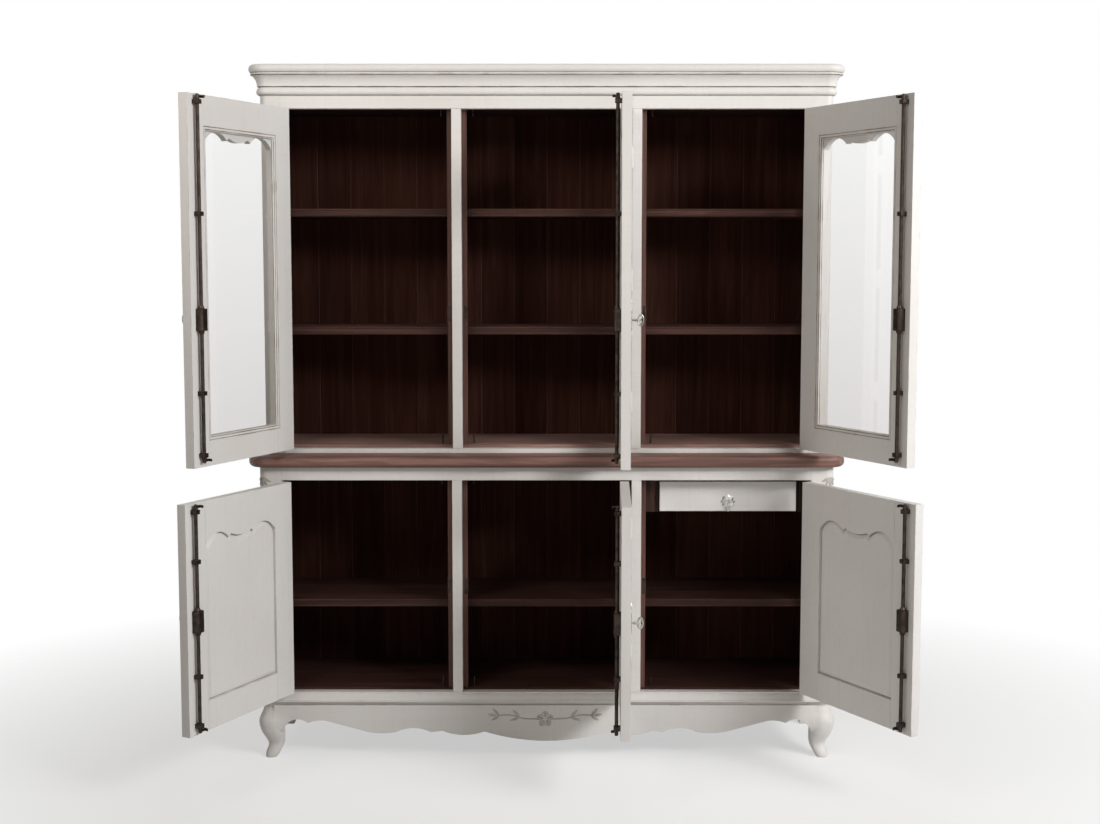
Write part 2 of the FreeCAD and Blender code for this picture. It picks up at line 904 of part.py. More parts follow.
def panelled_door(door):
    """Stiles and rails round a panel whose raised field follows the scalloped top."""
    opening = sight(door)
    hand = door.hand
    bottom = sided(hand, (opening.near, door_front, door.low), (opening.far, door_back, opening.low))
    swing(door, group(*door_stiles(door), bottom, scalloped_rail(door, opening, door_back)), "door_frame")

    def panel(inset, front, back):
        outline = [
            (((opening.far - inset) * hand, opening.low + inset),),
            (((opening.near + inset) * hand, opening.low + inset),),
            *scallop(opening.centre, opening.half - inset, opening.peak - inset, hand),
        ]
        return padded(outline, "XZ_Plane", front, back)

    recess = door_front + S.panel_face_recess
    tongue = panel(ZERO, recess + S.panel_groove_depth, door_back - S.panel_groove_depth)
    field = panel(S.panel_groove, recess, door_back)
    swing(door, fuse(tongue, field), "door_panel")


def hinge_heights(door):
    low = door.low + S.hinge_inset
    high = door.high - S.hinge_inset - S.hinge_height
    steps = door.level.door.hinges - 1
    return [low + (high - low) * n / steps for n in range(steps + 1)]


def hinge_leaf(side, height, on_door):
    """A leaf flat against the edge it is screwed to, with its share of three knuckles."""
    knuckle = float(S.hinge_height) / 3
    inner = float(S.hinge_gap / 2 - S.leaf_thick)
    start = float(S.hinge_standoff - S.leaf_thick)
    low = float(height)
    width = float(S.leaf_thick)
    left = inner if side > 0 else -inner - width

    def slab(y_low, y_high, z_low, z_high):
        return Part.makeBox(width, y_high - y_low, z_high - z_low, Vector(left, y_low, z_low))

    end = float(S.hinge_standoff + S.hinge_leaf)
    leaf = slab(start, end, low, low + 3 * knuckle)
    gap = float(S.knuckle_gap)
    for number in (0, 2) if on_door else (1,):
        z_low = low + number * knuckle + (0 if on_door else gap)
        z_high = z_low + knuckle - (0 if on_door else 2 * gap)
        barrel = Part.makeCylinder(float(S.knuckle_radius), z_high - z_low, Vector(0, 0, z_low))
        leaf = leaf.fuse([barrel, slab(0, start, z_low, z_high)])
    bore = float(S.pin_radius + (S.running_clearance if on_door else 0))
    return leaf.cut(Part.makeCylinder(bore, 3 * knuckle, Vector(0, 0, low))).removeSplitter()


def rod_bore(door, low, high):
    return cylinder("z", (rod_x * door.hand, rod_y, low), S.rod_radius + S.running_clearance, high - low)


def door_fittings(door):
    """Hinge leaves, a lock case, rod guides and the key's escutcheon."""
    hand = door.hand
    pieces = [feature(hinge_leaf(hand, height, True)) for height in hinge_heights(door)]
    low = door.lock - S.lock_height / 2
    high = door.lock + S.lock_height / 2
    case_far = rod_x + S.lock_lead
    case = sided(hand, (case_far - S.lock_width, door_back, low), (case_far, door_back + S.lock_depth, high))
    seat_end = door_back + S.key_seat + S.knuckle_gap
    seat = key_bore(door, door_back, seat_end, S.key_radius + S.running_clearance)
    pieces.append(cut(case, seat, rod_bore(door, low, high)))
    near, far = rod_x - S.guide_width / 2, rod_x + S.guide_width / 2
    for middle in (
        door.hooks[0] + S.end_guide_gap,
        door.lock - door.level.door.below,
        door.lock + door.level.door.above,
        door.hooks[1] - S.end_guide_gap,
    ):
        low, high = middle - S.guide_height / 2, middle + S.guide_height / 2
        guide = sided(hand, (near, door_back, low), (far, door_back + S.guide_depth, high))
        pieces.append(cut(guide, rod_bore(door, low, high)))
    tip = S.escutcheon_height / 2
    reach = S.escutcheon_width / 2
    outline = [
        (((key_x - reach) * hand, door.lock), (key_x * hand, door.lock + tip)),
        (((key_x + reach) * hand, door.lock), (key_x * hand, door.lock - tip)),
    ]
    front = door_front - S.escutcheon_thick
    plate = padded(outline, "XZ_Plane", front, door_front)
    pieces.append(cut(plate, key_bore(door, front, door_front, S.key_hole)))
    swing(door, group(*pieces), "door_fittings")


def hook_outline(hand):
    """An arm from the rod towards the hinges with a finger that curls round behind the catch."""
    half = S.hook_width / 2
    finger = math.radians(45)

    def at(x, y):
        return ((rod_x - x) * hand, rod_y + y)

    def ray(radius, angle):
        return at(radius * math.cos(angle), radius * math.sin(angle))

    def on_arm(radius):
        return root(radius * radius - half * half)

    return [
        (at(S.rod_radius, ZERO), at(on_arm(S.rod_radius), half)),
        (at(on_arm(S.hook_inner), half),),
        (ray(S.hook_inner, finger / 2), ray(S.hook_inner, finger)),
        (ray(S.hook_outer, finger),),
        (ray(S.hook_outer, finger / 2), at(on_arm(S.hook_outer), -half)),
        (at(on_arm(S.rod_radius), -half),),
    ]


def bolt_rod(door):
    """A round rod the height of the door with a flat hook near each end."""
    low = door.hooks[0] - S.rod_end
    high = door.hooks[1] + S.rod_end
    pieces = [cylinder("z", (rod_x * door.hand, rod_y, low), S.rod_radius, high - low)]
    for middle in door.hooks:
        outline = hook_outline(door.hand)
        pieces.append(padded(outline, "XY_Plane", middle - S.hook_thick / 2, middle + S.hook_thick / 2))
    swing(door, group(*pieces), "bolt_rod")


def key_shape():
    """A key lying along Y through the origin, its collar in front of the door and its bow upright."""
    root_y = -float(S.key_reach)
    depth = float(S.bow_depth)
    height = float(S.bow_height)
    wall = float(S.bow_wall)
    thick = float(S.bow_thick)
    radius = float(S.key_radius)
    end = float(S.door_thick + S.key_seat)
    middle = Vector(0, root_y - depth / 2, 0)

    def oval(inset):
        tall = middle + Vector(0, 0, height / 2 - inset)
        wide = middle + Vector(0, depth / 2 - inset, 0)
        edge = Part.Ellipse(tall, wide, middle).toShape()
        return Part.Face(Part.Wire(edge))

    bow = oval(0).cut(oval(wall)).extrude(Vector(thick, 0, 0))
    bow.translate(Vector(-thick / 2, 0, 0))
    along = Vector(0, 1, 0)
    shank_start = root_y - wall / 2
    shank = Part.makeCylinder(radius, end - shank_start, Vector(0, shank_start, 0), along)
    collar_length = float(S.key_collar)
    collar = Part.makeCylinder(float(S.collar_radius), collar_length, Vector(0, root_y, 0), along)
    return shank.fuse([bow, collar]).removeSplitter()


def key(door):
    placed = put(feature(key_shape()), key_x * door.hand, door_front, door.lock)
    swing(door, group(placed), "key")


def frame_hinges(doors):
    """The leaves on the jambs, and the pins that the doors turn on."""
    pieces = []
    for door in doors:
        for height in hinge_heights(door):
            leaf = hinge_leaf(-door.hand, height, False)
            pin = Part.makeCylinder(float(S.pin_radius), float(S.hinge_height), Vector(0, 0, float(height)))
            for shape in (leaf, pin):
                pieces.append(put(feature(shape), door.x, door.y, ZERO))
    return node(group(*pieces), "hinge_leaves_and_pins")


def bolt_catches(doors):
    """Pins on the floors and ceilings for the hooks, and a strike plate at each lock."""
    pieces = []
    for door in doors:
        level = door.level
        x = door.x + rod_x * door.hand
        y = door.y + rod_y + S.catch_reach
        pieces.append(cylinder("z", (x, y, level.floor), S.catch_radius, S.floor_catch))
        pieces.append(cylinder("z", (x, y, level.ceiling - S.ceiling_catch), S.catch_radius, S.ceiling_catch))
        closing = door.x + (door_far + S.closing_gap) * door.hand
        strip = closing - S.strip_proud * door.hand
        near, far = (strip - S.strike_thick, strip) if door.hand > 0 else (strip, strip + S.strike_thick)
        middle = level.inside + S.strip_thick / 2
        pieces.append(box(
            (near, middle - S.strike_width / 2, door.lock - S.strike_height / 2),
            (far, middle + S.strike_width / 2, door.lock + S.strike_height / 2),
        ))
    return node(group(*pieces), "bolt_catches")


# Drawer: it hangs below the ceiling of the right lower bay, back far enough for the shut door
drawer = SimpleNamespace(left=mullion_centre + S.mullion_width / 2 + S.drawer_left)
drawer.right = drawer.left + S.drawer_width
drawer.front = lower.face + S.drawer_setback
drawer.back = drawer.front + S.drawer_front
drawer.top = lower.high - S.drawer_drop
drawer.low = drawer.top - S.drawer_height
drawer.side_low = (drawer.top + drawer.low - S.drawer_side_height) / 2
drawer.side_top = drawer.side_low + S.drawer_side_height
drawer.end = back_inner - S.drawer_back_gap


def drawer_box():
    """Two sides and a back behind the front, round a thin bottom."""
    left = drawer.left + S.drawer_side
    right = drawer.right - S.drawer_side
    floor = drawer.side_low + S.drawer_floor
    front = box((drawer.left, drawer.front, drawer.low), (drawer.right, drawer.back, drawer.top))
    node(front, "drawer_front")
    sides = group(
        box((drawer.left, drawer.back, drawer.side_low), (left, drawer.end, drawer.side_top)),
        box((right, drawer.back, drawer.side_low), (drawer.right, drawer.end, drawer.side_top)),
        box((left, drawer.end - S.drawer_side, floor), (right, drawer.end, drawer.side_top)),
    )
    node(sides, "drawer_sides")
    node(box((left, drawer.back, drawer.side_low), (right, drawer.end, floor)), "drawer_bottom")


def drawer_guides():
    """On each side a board, a ledge that the drawer slides on and a filler out to the cabinet wall."""
    start = drawer.back + S.ear_thick
    ledge_top = drawer.side_low - S.drawer_clear
    low = ledge_top - S.ledge_height
    inner_wall = mullion_centre + S.divider_thick / 2
    left = drawer.left - S.drawer_clear
    right = drawer.right + S.drawer_clear
    top = lower.ceiling
    pieces = [
        box((left - S.guide_board, start, low), (left, back_inner, top)),
        box((right, start, low), (right + S.guide_board, back_inner, top)),
        box((left, start, low), (left + S.ledge_width, back_inner, ledge_top)),
        box((right - S.ledge_width, start, low), (right, back_inner, ledge_top)),
        box((inner_wall, start, low), (left - S.guide_board, start + S.filler_thick, top)),
        box((right + S.guide_board, start, low), (lower.wall, start + S.filler_thick, top)),
    ]
    return node(group(*pieces), "drawer_guides")


def drawer_pull():
    """A round rosette whose two ears carry a cross pin, and a drop that hangs from the pin."""
    x = (drawer.left + drawer.right) / 2
    z = drawer.low + S.pull_height
    y = drawer.front - S.pull_standoff
    face = drawer.front - S.rosette_thick
    plate = cylinder("y", (x, face, z), S.rosette_radius, S.rosette_thick)
    eye_half = S.eye_width / 2
    ear = eye_half + S.eye_gap
    pieces = [plate]
    for left in (x - ear - S.ear_thick, x + ear):
        pieces.append(cylinder("x", (left, y, z), S.ear_radius, S.ear_thick))
        pieces.append(box((left, y, z - S.ear_radius), (left + S.ear_thick, face, z + S.ear_radius)))
    pin_half = ear + S.ear_thick
    pieces.append(cylinder("x", (x - pin_half, y, z), S.pull_pin, pin_half * 2))
    node(fuse(*pieces), "pull_rosette")

    eye = cylinder("x", (x - eye_half, y, z), S.eye_radius, S.eye_width)
    drop = doc.addObject("Part::Cone", "drop")
    bind(drop, "Radius1", S.drop_radius)
    bind(drop, "Radius2", S.drop_neck)
    bind(drop, "Height", S.drop_length)
    put(drop, x, y, z - S.drop_length)
    ball = doc.addObject("Part::Sphere", "ball")
    bind(ball, "Radius", S.drop_radius)
    put(ball, x, y, z - S.drop_length)
    hole = cylinder("x", (x - eye_half, y, z), S.pull_pin + S.running_clearance, S.eye_width)
    node(cut(fuse(eye, drop, ball), hole), "pull_drop")


cornice()
face_frame(upper, "upper_face_frame")
side_panels(upper, "upper_side_panels")
across(upper, upper.ceiling, upper.ceiling + S.top_board, "upper_top_board")
across(upper, counter_top, upper.floor, "upper_floor_board")
back_boards(upper, counter_top, upper.ceiling + S.top_board, "upper_back_boards")
dividers(upper, "upper_dividers")
shelves(upper, [upper.floor + S.upper_shelf_pitch * n for n in (1, 2)], "upper_shelves")
countertop()
face_frame(lower, "lower_face_frame")
side_panels(lower, "lower_side_panels")
across(lower, lower.ceiling, lower.ceiling + S.top_board, "lower_top_board")
across(lower, lower.floor - S.lower_floor_thick, lower.floor, "lower_floor_board")
back_boards(lower, S.leg_height, counter_low, "lower_back_boards")
dividers(lower, "lower_dividers")
shelves(lower, [lower.floor + S.lower_shelf_height], "lower_shelves")
waist_moulding()
front_apron()
side_aprons()
front_legs()
rear_legs()
stop_strips()
doors = make_doors()
bolt_catches(doors)
frame_hinges(doors)
drawer_guides()
drawer_box()
drawer_pull()
for door in doors:
    if door.level is upper:
        glazed_door(door)
    else:
        panelled_door(door)
    door_fittings(door)
    bolt_rod(door)
    key(door)

doc.recompute()
for thing in doc.Objects:
    faults = {"Invalid", "Error"} & set(thing.State)
    if faults:
        raise RuntimeError(f"{thing.Name} ({thing.Label}) is {sorted(faults)}")
for piece in nodes:
    if piece.Shape.isNull() or not piece.Shape.isValid() or not piece.Shape.Solids:
        raise RuntimeError(f"{piece.Label} has no valid solid")

os.makedirs("parts", exist_ok=True)
for piece in nodes:
    piece.Shape.exportStep(f"parts/{piece.Label}.step")
print(f"{len(nodes)} nodes, {sum(len(piece.Shape.Solids) for piece in nodes)} solids")
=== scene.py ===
import json
import random
from math import acos, asin, atan2, cos, exp, hypot, pi, radians, sin, sqrt

import bmesh
import bpy
from mathutils import Matrix, Vector


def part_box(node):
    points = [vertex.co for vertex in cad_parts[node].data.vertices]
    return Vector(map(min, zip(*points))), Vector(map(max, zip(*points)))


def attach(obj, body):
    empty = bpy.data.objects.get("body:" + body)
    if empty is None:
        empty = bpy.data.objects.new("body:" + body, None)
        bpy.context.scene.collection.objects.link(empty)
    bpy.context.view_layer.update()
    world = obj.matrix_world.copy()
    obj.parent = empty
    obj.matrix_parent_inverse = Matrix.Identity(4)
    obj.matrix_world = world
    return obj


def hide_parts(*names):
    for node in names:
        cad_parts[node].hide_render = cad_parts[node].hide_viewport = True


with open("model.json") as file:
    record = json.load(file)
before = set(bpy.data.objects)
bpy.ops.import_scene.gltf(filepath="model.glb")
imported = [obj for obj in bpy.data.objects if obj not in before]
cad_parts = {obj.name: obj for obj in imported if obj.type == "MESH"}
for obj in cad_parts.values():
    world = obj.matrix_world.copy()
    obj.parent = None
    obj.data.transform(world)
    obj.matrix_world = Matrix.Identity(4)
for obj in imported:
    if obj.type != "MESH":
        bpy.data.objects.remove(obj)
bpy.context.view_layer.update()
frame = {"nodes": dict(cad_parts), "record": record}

mm = 0.001
print("frame loaded,", len(frame["nodes"]), "nodes")


# node tree helpers

def plug(value, socket):
    if isinstance(value, bpy.types.NodeSocket):
        socket.id_data.links.new(value, socket)
    else:
        socket.default_value = value


def setInputs(node, inputs):
    for name, value in inputs.items():
        plug(value, node.inputs[name])


def addNode(tree, kind, inputs=None, **settings):
    family = "GeometryNode" if tree.type == "GEOMETRY" else "ShaderNode"
    node = tree.nodes.new(kind if "Node" in kind else family + kind)
    for name, value in settings.items():
        setattr(node, name, value)
    setInputs(node, inputs or {})
    return node


def outOf(tree, kind, inputs=None, **settings):
    return addNode(tree, kind, inputs, **settings).outputs[0]


def treeOf(values):  # the tree that the sockets among some values belong to
    return next(value.id_data for value in values if isinstance(value, bpy.types.NodeSocket))


def mixColour(factor, first, second, blend="MIX"):
    inputs = {0: factor, 6: first, 7: second}
    settings = {"data_type": "RGBA", "blend_type": blend}
    return addNode(treeOf(inputs.values()), "Mix", inputs, **settings).outputs[2]


def calc(operation, *values):
    return outOf(treeOf(values), "Math", dict(enumerate(values)), operation=operation)


def times(first, second):
    return calc("MULTIPLY", first, second)


def spread(value, low, high, toLow=0.0, toHigh=1.0):
    inputs = {"Value": value, "From Min": low, "From Max": high, "To Min": toLow, "To Max": toHigh}
    return outOf(value.id_data, "MapRange", inputs)


def noise(spot, scale, detail, distortion=0.0, stretch=(1, 1, 1)):
    mapped = outOf(spot.id_data, "Mapping", {"Vector": spot, "Scale": stretch})
    inputs = {"Vector": mapped, "Scale": scale, "Detail": detail, "Distortion": distortion}
    return addNode(spot.id_data, "TexNoise", inputs).outputs["Fac"]


def attribute(tree, name):
    return addNode(tree, "Attribute", attribute_name=name).outputs["Fac"]


def newFinish(name):
    finish = bpy.data.materials.new(name)
    finish.use_nodes = True
    tree = finish.node_tree
    spot = addNode(tree, "TexCoord").outputs["Object"]
    return finish, tree, tree.nodes["Principled BSDF"], spot


def bumpy(shader, height, strength, distance):
    inputs = {"Height": height, "Strength": strength, "Distance": distance}
    plug(outOf(shader.id_data, "Bump", inputs), shader.inputs["Normal"])


# painted wood: brushed antique white, rubbed through on edges, brown glaze and painted shade in the recesses
paintLook = {
    "base": (0.745, 0.725, 0.706, 1),
    "warm": (0.64, 0.6, 0.56, 1),
    "glaze": (0.17, 0.125, 0.098, 1),
    "bareWood": (0.2, 0.125, 0.085, 1),
    "strokes": [(95, 95, 3.2), (3.2, 95, 95)],  # brush marks up the boards and across them
    "rubWidth": 0.004, "shine": 0.35, "depth": 0.0006,
}


def makePaint(name, glazeShadeShare, rubShare):
    look = paintLook
    finish, tree, shader, spot = newFinish(name)
    broad = noise(spot, 2.6, 5.0)
    strokes = [noise(spot, 1.0, 3.0, 0.2, stretch) for stretch in look["strokes"]]
    brush = times(calc("ADD", *strokes), 0.5)
    patch = noise(spot, 17.0, 8.0, 0.3)
    tone = mixColour(spread(broad, 0.38, 0.72, 0.0, 0.4), look["base"], look["warm"])
    tone = mixColour(spread(brush, 0.5, 0.68, 0.0, 0.3), tone, look["warm"])
    soft = outOf(tree, "Bevel", {"Radius": look["rubWidth"]}, samples=4)
    normal = addNode(tree, "NewGeometry").outputs["Normal"]
    facing = addNode(tree, "VectorMath", {0: soft, 1: normal}, operation="DOT_PRODUCT")
    edge = spread(facing.outputs["Value"], 0.995, 0.86)
    rub = times(edge, spread(patch, 0.5, 0.64))
    tone = mixColour(times(rub, rubShare), tone, look["bareWood"])
    # brown glaze and painted shade, patchy, on the faces marked in the hollows
    glazeAndPaintedLight = times(attribute(tree, "glazeAndPaintedLight"), spread(patch, 0.3, 0.6, 0.55, 1.0))
    setInputs(shader, {
        "Base Color": mixColour(times(glazeAndPaintedLight, glazeShadeShare), tone, look["glaze"]),
        "Roughness": spread(brush, 0.3, 0.7, 0.4, 0.58),
        "Specular IOR Level": look["shine"],
    })
    bumpy(shader, calc("ADD", brush, times(patch, 0.3)), 0.12, look["depth"])
    return finish


# stained wood: long grain along one axis, each board with its own tint
stainLook = {
    "grain": (2.2, 60), "figure": (0.7, 9),  # stretch along the board and across it
    "pores": 4.5, "rings": 34.0, "tints": (0.72, 1.25), "shift": 3.7, "depth": 0.0006,
}


def stretched(axis, slow, fast):
    return tuple(slow if each == axis else fast for each in "xyz")


def makeStain(name, dark, light, streak, along, gloss, shine):
    look = stainLook
    dark, light, streak = [(*colour, 1) for colour in (dark, light, streak)]
    finish, tree, shader, spot = newFinish(name)
    tint = attribute(tree, "tint")
    shift = {"X": times(tint, look["shift"]), "Y": tint, "Z": tint}
    shift = outOf(tree, "CombineXYZ", shift)
    spot = outOf(tree, "VectorMath", {0: spot, 1: shift}, operation="ADD")
    fine = stretched(along, *look["grain"])
    grain = noise(spot, 1.0, 7.0, 0.6, fine)
    flame = noise(spot, 1.0, 4.0, 1.6, stretched(along, *look["figure"]))
    rings = calc("SINE", times(flame, look["rings"]))
    pores = noise(spot, 1.0, 2.0, 0.0, tuple(look["pores"] * share for share in fine))
    tone = mixColour(spread(grain, 0.32, 0.7), dark, light)
    layers = [(rings, 0.2, 1.0, 0.45, dark), (flame, 0.56, 0.74, 0.4, streak), (pores, 0.56, 0.7, 0.55, dark)]
    for mark, low, high, most, colour in layers:
        tone = mixColour(spread(mark, low, high, 0.0, most), tone, colour)
    # faces marked in the hollows and on the slopes of the board joints are lightened towards the streak colour:
    # a painted highlight
    tone = mixColour(times(attribute(tree, "glazeAndPaintedLight"), 0.6), tone, streak)
    value = spread(tint, 0.0, 1.0, *look["tints"])
    grey = outOf(tree, "CombineColor", {0: value, 1: value, 2: value})
    setInputs(shader, {
        "Base Color": mixColour(1.0, tone, grey, "MULTIPLY"),
        "Roughness": spread(grain, 0.3, 0.7, gloss - 0.07, gloss + 0.15),
        "Specular IOR Level": shine,
    })
    bumpy(shader, calc("SUBTRACT", grain, times(pores, 0.5)), 0.2, look["depth"])
    return finish


# metal: clouded with dirt and finely scratched
metalLook = {"cloud": 55.0, "scratch": (500, 500, 60), "depth": 0.0003}


def makeMetal(name, base, dirt, rough, dirtShare):
    finish, tree, shader, spot = newFinish(name)
    cloud = noise(spot, metalLook["cloud"], 6.0, 0.4)
    scratch = noise(spot, 1.0, 3.0, 0.0, metalLook["scratch"])
    dirty = spread(cloud, 0.42, 0.66, 0.0, dirtShare)
    worn = spread(cloud, 0.35, 0.7, rough - 0.08, rough + 0.16)
    setInputs(shader, {
        "Base Color": mixColour(dirty, (*base, 1), (*dirt, 1)),
        "Metallic": 1.0,
        "Roughness": calc("ADD", worn, times(scratch, 0.06)),
    })
    bumpy(shader, calc("ADD", cloud, times(scratch, 0.3)), 0.14, metalLook["depth"])
    return finish


# glass: clear, tinted darker towards the bottom of the panes
glassLook = {
    "low": (0.79, 0.77, 0.765, 1), "high": (1.0, 1.0, 0.995, 1), "from": 1.0, "to": 1.85, "index": 1.45,
}


def makeGlass():
    look = glassLook
    finish, tree, shader, spot = newFinish("clearGlass")
    height = addNode(tree, "SeparateXYZ", {0: spot}).outputs["Z"]
    heightShare = spread(height, look["from"], look["to"])
    setInputs(shader, {
        "Base Color": mixColour(heightShare, look["low"], look["high"]),
        "Transmission Weight": 1.0, "Roughness": 0.0, "IOR": look["index"],
    })
    path = addNode(tree, "LightPath").outputs
    clear = outOf(tree, "BsdfTransparent")
    seen = shader.outputs[0]
    for ray in ("Is Diffuse Ray", "Is Shadow Ray"):  # light goes straight through, sight is bent
        seen = outOf(tree, "MixShader", {0: path[ray], 1: seen, 2: clear})
    plug(seen, tree.nodes["Material Output"].inputs["Surface"])
    return finish


stains = {  # dark grain, light grain, streak, way of the grain, roughness and shine
    # the back boards, shelves and posts are darker than the strips and the counter: their own stain and painted
    # shade for the dim inside of the cabinet
    "backBoardStainAndShade": ((0.04, 0.0155, 0.0115), (0.07, 0.028, 0.0205), (0.13, 0.064, 0.047), "z", 0.7, 0.0),
    "shelfStainAndShade": ((0.03, 0.0125, 0.0095), (0.082, 0.037, 0.029), (0.12, 0.06, 0.047), "x", 0.55, 0.14),
    "postStainAndShade": ((0.02, 0.0085, 0.0065), (0.06, 0.027, 0.02), (0.09, 0.043, 0.033), "z", 0.55, 0.2),
    "stripStain": ((0.065, 0.031, 0.024), (0.16, 0.08, 0.064), (0.2, 0.112, 0.093), "z", 0.5, 0.2),
    "counterStain": ((0.1, 0.05, 0.04), (0.26, 0.14, 0.112), (0.34, 0.205, 0.17), "x", 0.42, 0.35),
    "floorStain": ((0.12, 0.068, 0.056), (0.3, 0.178, 0.15), (0.4, 0.262, 0.222), "x", 0.5, 0.3),
}
metals = {  # clean metal, dirt, roughness and share of dirt
    "darkBronze": ((0.06, 0.044, 0.036), (0.022, 0.0165, 0.0135), 0.44, 0.8),
    "oldSilver": ((0.5, 0.48, 0.45), (0.075, 0.068, 0.06), 0.28, 0.9),
    "pullSilver": ((0.64, 0.62, 0.59), (0.1, 0.09, 0.08), 0.27, 0.9),
    "rubbedSilver": ((0.82, 0.81, 0.79), (0.42, 0.4, 0.37), 0.3, 0.6),
}
paint = makePaint("antiqueWhite", 0.8, 0.5)
hingePaint = makePaint("paintedHinge", 0.25, 0.12)  # the hinges are painted over with the doors
woods = [makeStain(name, *look) for name, look in stains.items()]
backWood, shelfWood, postWood, stripWood, counterWood, floorWood = woods
bronze, silver, pullSilver, plateSilver = [makeMetal(name, *look) for name, look in metals.items()]
glass = makeGlass()
print("finishes made")


# mesh helpers

def splitShells(node):  # the closed skins of a node's solids, in file order
    mesh = frame["nodes"][node].data
    shells, current, loose = [], [], set()
    corners = [tuple(round(c, 6) for c in vertex.co) for vertex in mesh.vertices]
    for polygon in mesh.polygons:
        ring = [corners[index] for index in polygon.vertices]
        current.append(ring)
        for edge in zip(ring, ring[1:] + ring[:1]):
            loose ^= {frozenset(edge)}
        if not loose:  # every edge has been met twice
            shells.append(current)
            current = []
    return shells + [current] if current else shells


def spotAt(x, y, z):
    return Vector((x, y, z)) * mm


def shellBox(shell):
    spots = [corner for ring in shell for corner in ring]
    return [[end(spot[axis] for spot in spots) for axis in range(3)] for end in (min, max)]


def shellMesh(shell):
    bm = bmesh.new()
    made = {}
    for ring in shell:
        for corner in ring:
            if corner not in made:
                made[corner] = bm.verts.new(corner)
        verts = [made[corner] for corner in ring]
        if len(set(verts)) == 3 and not bm.faces.get(verts):
            bm.faces.new(verts)
    bmesh.ops.dissolve_limit(bm, angle_limit=radians(0.6), verts=bm.verts, edges=bm.edges)
    return bm


def glazeAndPaintedLightLayer(bm):
    return bm.faces.layers.float.get("glazeAndPaintedLight") or bm.faces.layers.float.new("glazeAndPaintedLight")


def soften(bm, width, sharpest=26):  # hollow edges first, marked for brown glaze and painted shade in the crease, then eased proud ones
    glazeAndPaintedLight = glazeAndPaintedLightLayer(bm)
    limit = radians(sharpest)
    for side, offset, segments in ((-1, width * 0.8, 1), (1, width, 2)):
        joined = [edge for edge in bm.edges if len(edge.link_faces) == 2]
        edges = [edge for edge in joined if side * edge.calc_face_angle_signed(0) > limit]
        if edges:
            shape = {"profile": 0.5, "affect": "EDGES", "clamp_overlap": True}
            made = bmesh.ops.bevel(bm, geom=edges, offset=offset, segments=segments, **shape)
            for face in made["faces"] if side < 0 else []:
                face[glazeAndPaintedLight] = 1.0
    return bm


def outward(bm):
    bmesh.ops.recalc_face_normals(bm, faces=bm.faces)
    return bm


def meshFrom(bm, name):
    mesh = bpy.data.meshes.new(name)
    bm.to_mesh(mesh)
    bm.free()
    return mesh


def meshOf(bms, name, tints):
    whole = bmesh.new()
    tint = whole.faces.layers.float.new("tint")
    whole.faces.layers.float.new("glazeAndPaintedLight")
    for number, bm in enumerate(bms):
        start = len(whole.faces)
        part = meshFrom(bm, "part")
        whole.from_mesh(part)
        bpy.data.meshes.remove(part)
        whole.faces.ensure_lookup_table()
        for face in whole.faces[start:]:
            face[tint] = tints[number] if tints else 0.5
    return meshFrom(whole, name)


def linked(name, data):
    thing = bpy.data.objects.new(name, data)
    bpy.context.scene.collection.objects.link(thing)
    return thing


def plainMesh(holder):
    bpy.context.view_layer.update()
    graph = bpy.context.evaluated_depsgraph_get()
    source = holder.data
    result = holder.evaluated_get(graph)
    mesh = bpy.data.meshes.new_from_object(result, preserve_all_data_layers=True, depsgraph=graph)
    holder.modifiers.clear()
    bpy.data.objects.remove(holder)
    if not source.users:
        bpy.data.meshes.remove(source)
    return mesh


def smoothed(mesh, angle=30):  # wide flat faces stay flat beside their eased edges
    mesh.polygons.foreach_set("use_smooth", [True] * len(mesh.polygons))
    mesh.set_sharp_from_angle(angle=radians(angle))
    holder = linked("holder", mesh)
    holder.modifiers.new("evenNormals", "WEIGHTED_NORMAL").keep_sharp = True
    return plainMesh(holder)


def place(mesh, name, finish, body, slot, *nodes):
    mesh.materials.clear()
    mesh.materials.append(finish)
    piece = linked(name, mesh)
    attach(piece, body)
    if nodes:
        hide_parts(*nodes)


def assemble(bms, name, finish, body, slot, *nodes, tints=None, angle=30):
    place(smoothed(meshOf(bms, name, tints), angle), name, finish, body, slot, *nodes)


def finishNode(node, finish, width, keep=None, extra=(), slot=None):
    draw = random.Random(node)
    bms, tints = [], []
    for shell in splitShells(node):
        tint = draw.random()
        if keep is None or keep(shell):
            bms.append(soften(shellMesh(shell), width * mm))
            tints.append(tint)
    bms += extra
    tints += [0.5] * len(extra)
    record = frame["record"]
    body = next(name for name, members in record["behaviour"]["bodies"].items() if node in members)
    slot = slot or next(entry["material_slot"] for entry in record["subparts"] if entry["node"] == node)
    assemble(bms, node + "_finished", finish, body, slot, node, tints=tints)


def evenly(start, span, steps):
    return [start + span * number / steps for number in range(steps + 1)]


def roundTurn(steps):
    return evenly(0.0, 2 * pi, steps)[:-1]


def onArc(wide, tall, angles):
    return [(wide * cos(angle), tall * sin(angle)) for angle in angles]


def loft(bm, rings, loop=False):  # skin over closed rings, capped at both ends or joined round
    rows = [[bm.verts.new(spot) for spot in ring] for ring in rings]
    strips = []
    for first, second in zip(rows, rows[1:] + rows[:1] if loop else rows[1:]):
        strip = []
        for number in range(len(first)):
            following = (number + 1) % len(first)
            strip.append(bm.faces.new((first[number], first[following], second[following], second[number])))
        strips.append(strip)
    if not loop:
        bm.faces.new(rows[0][::-1])
        bm.faces.new(rows[-1])
    return strips


def lofted(rings):
    bm = bmesh.new()
    loft(bm, rings)
    return outward(bm)


def turned(bm, profile, spot, steps=24):  # a lathe piece: radius and height pairs about an axis
    rings = []
    for radius, height in profile:
        circle = onArc(radius, radius, roundTurn(steps))
        rings.append([spot @ Vector((x, y, height)) for x, y in circle])
    return loft(bm, rings)


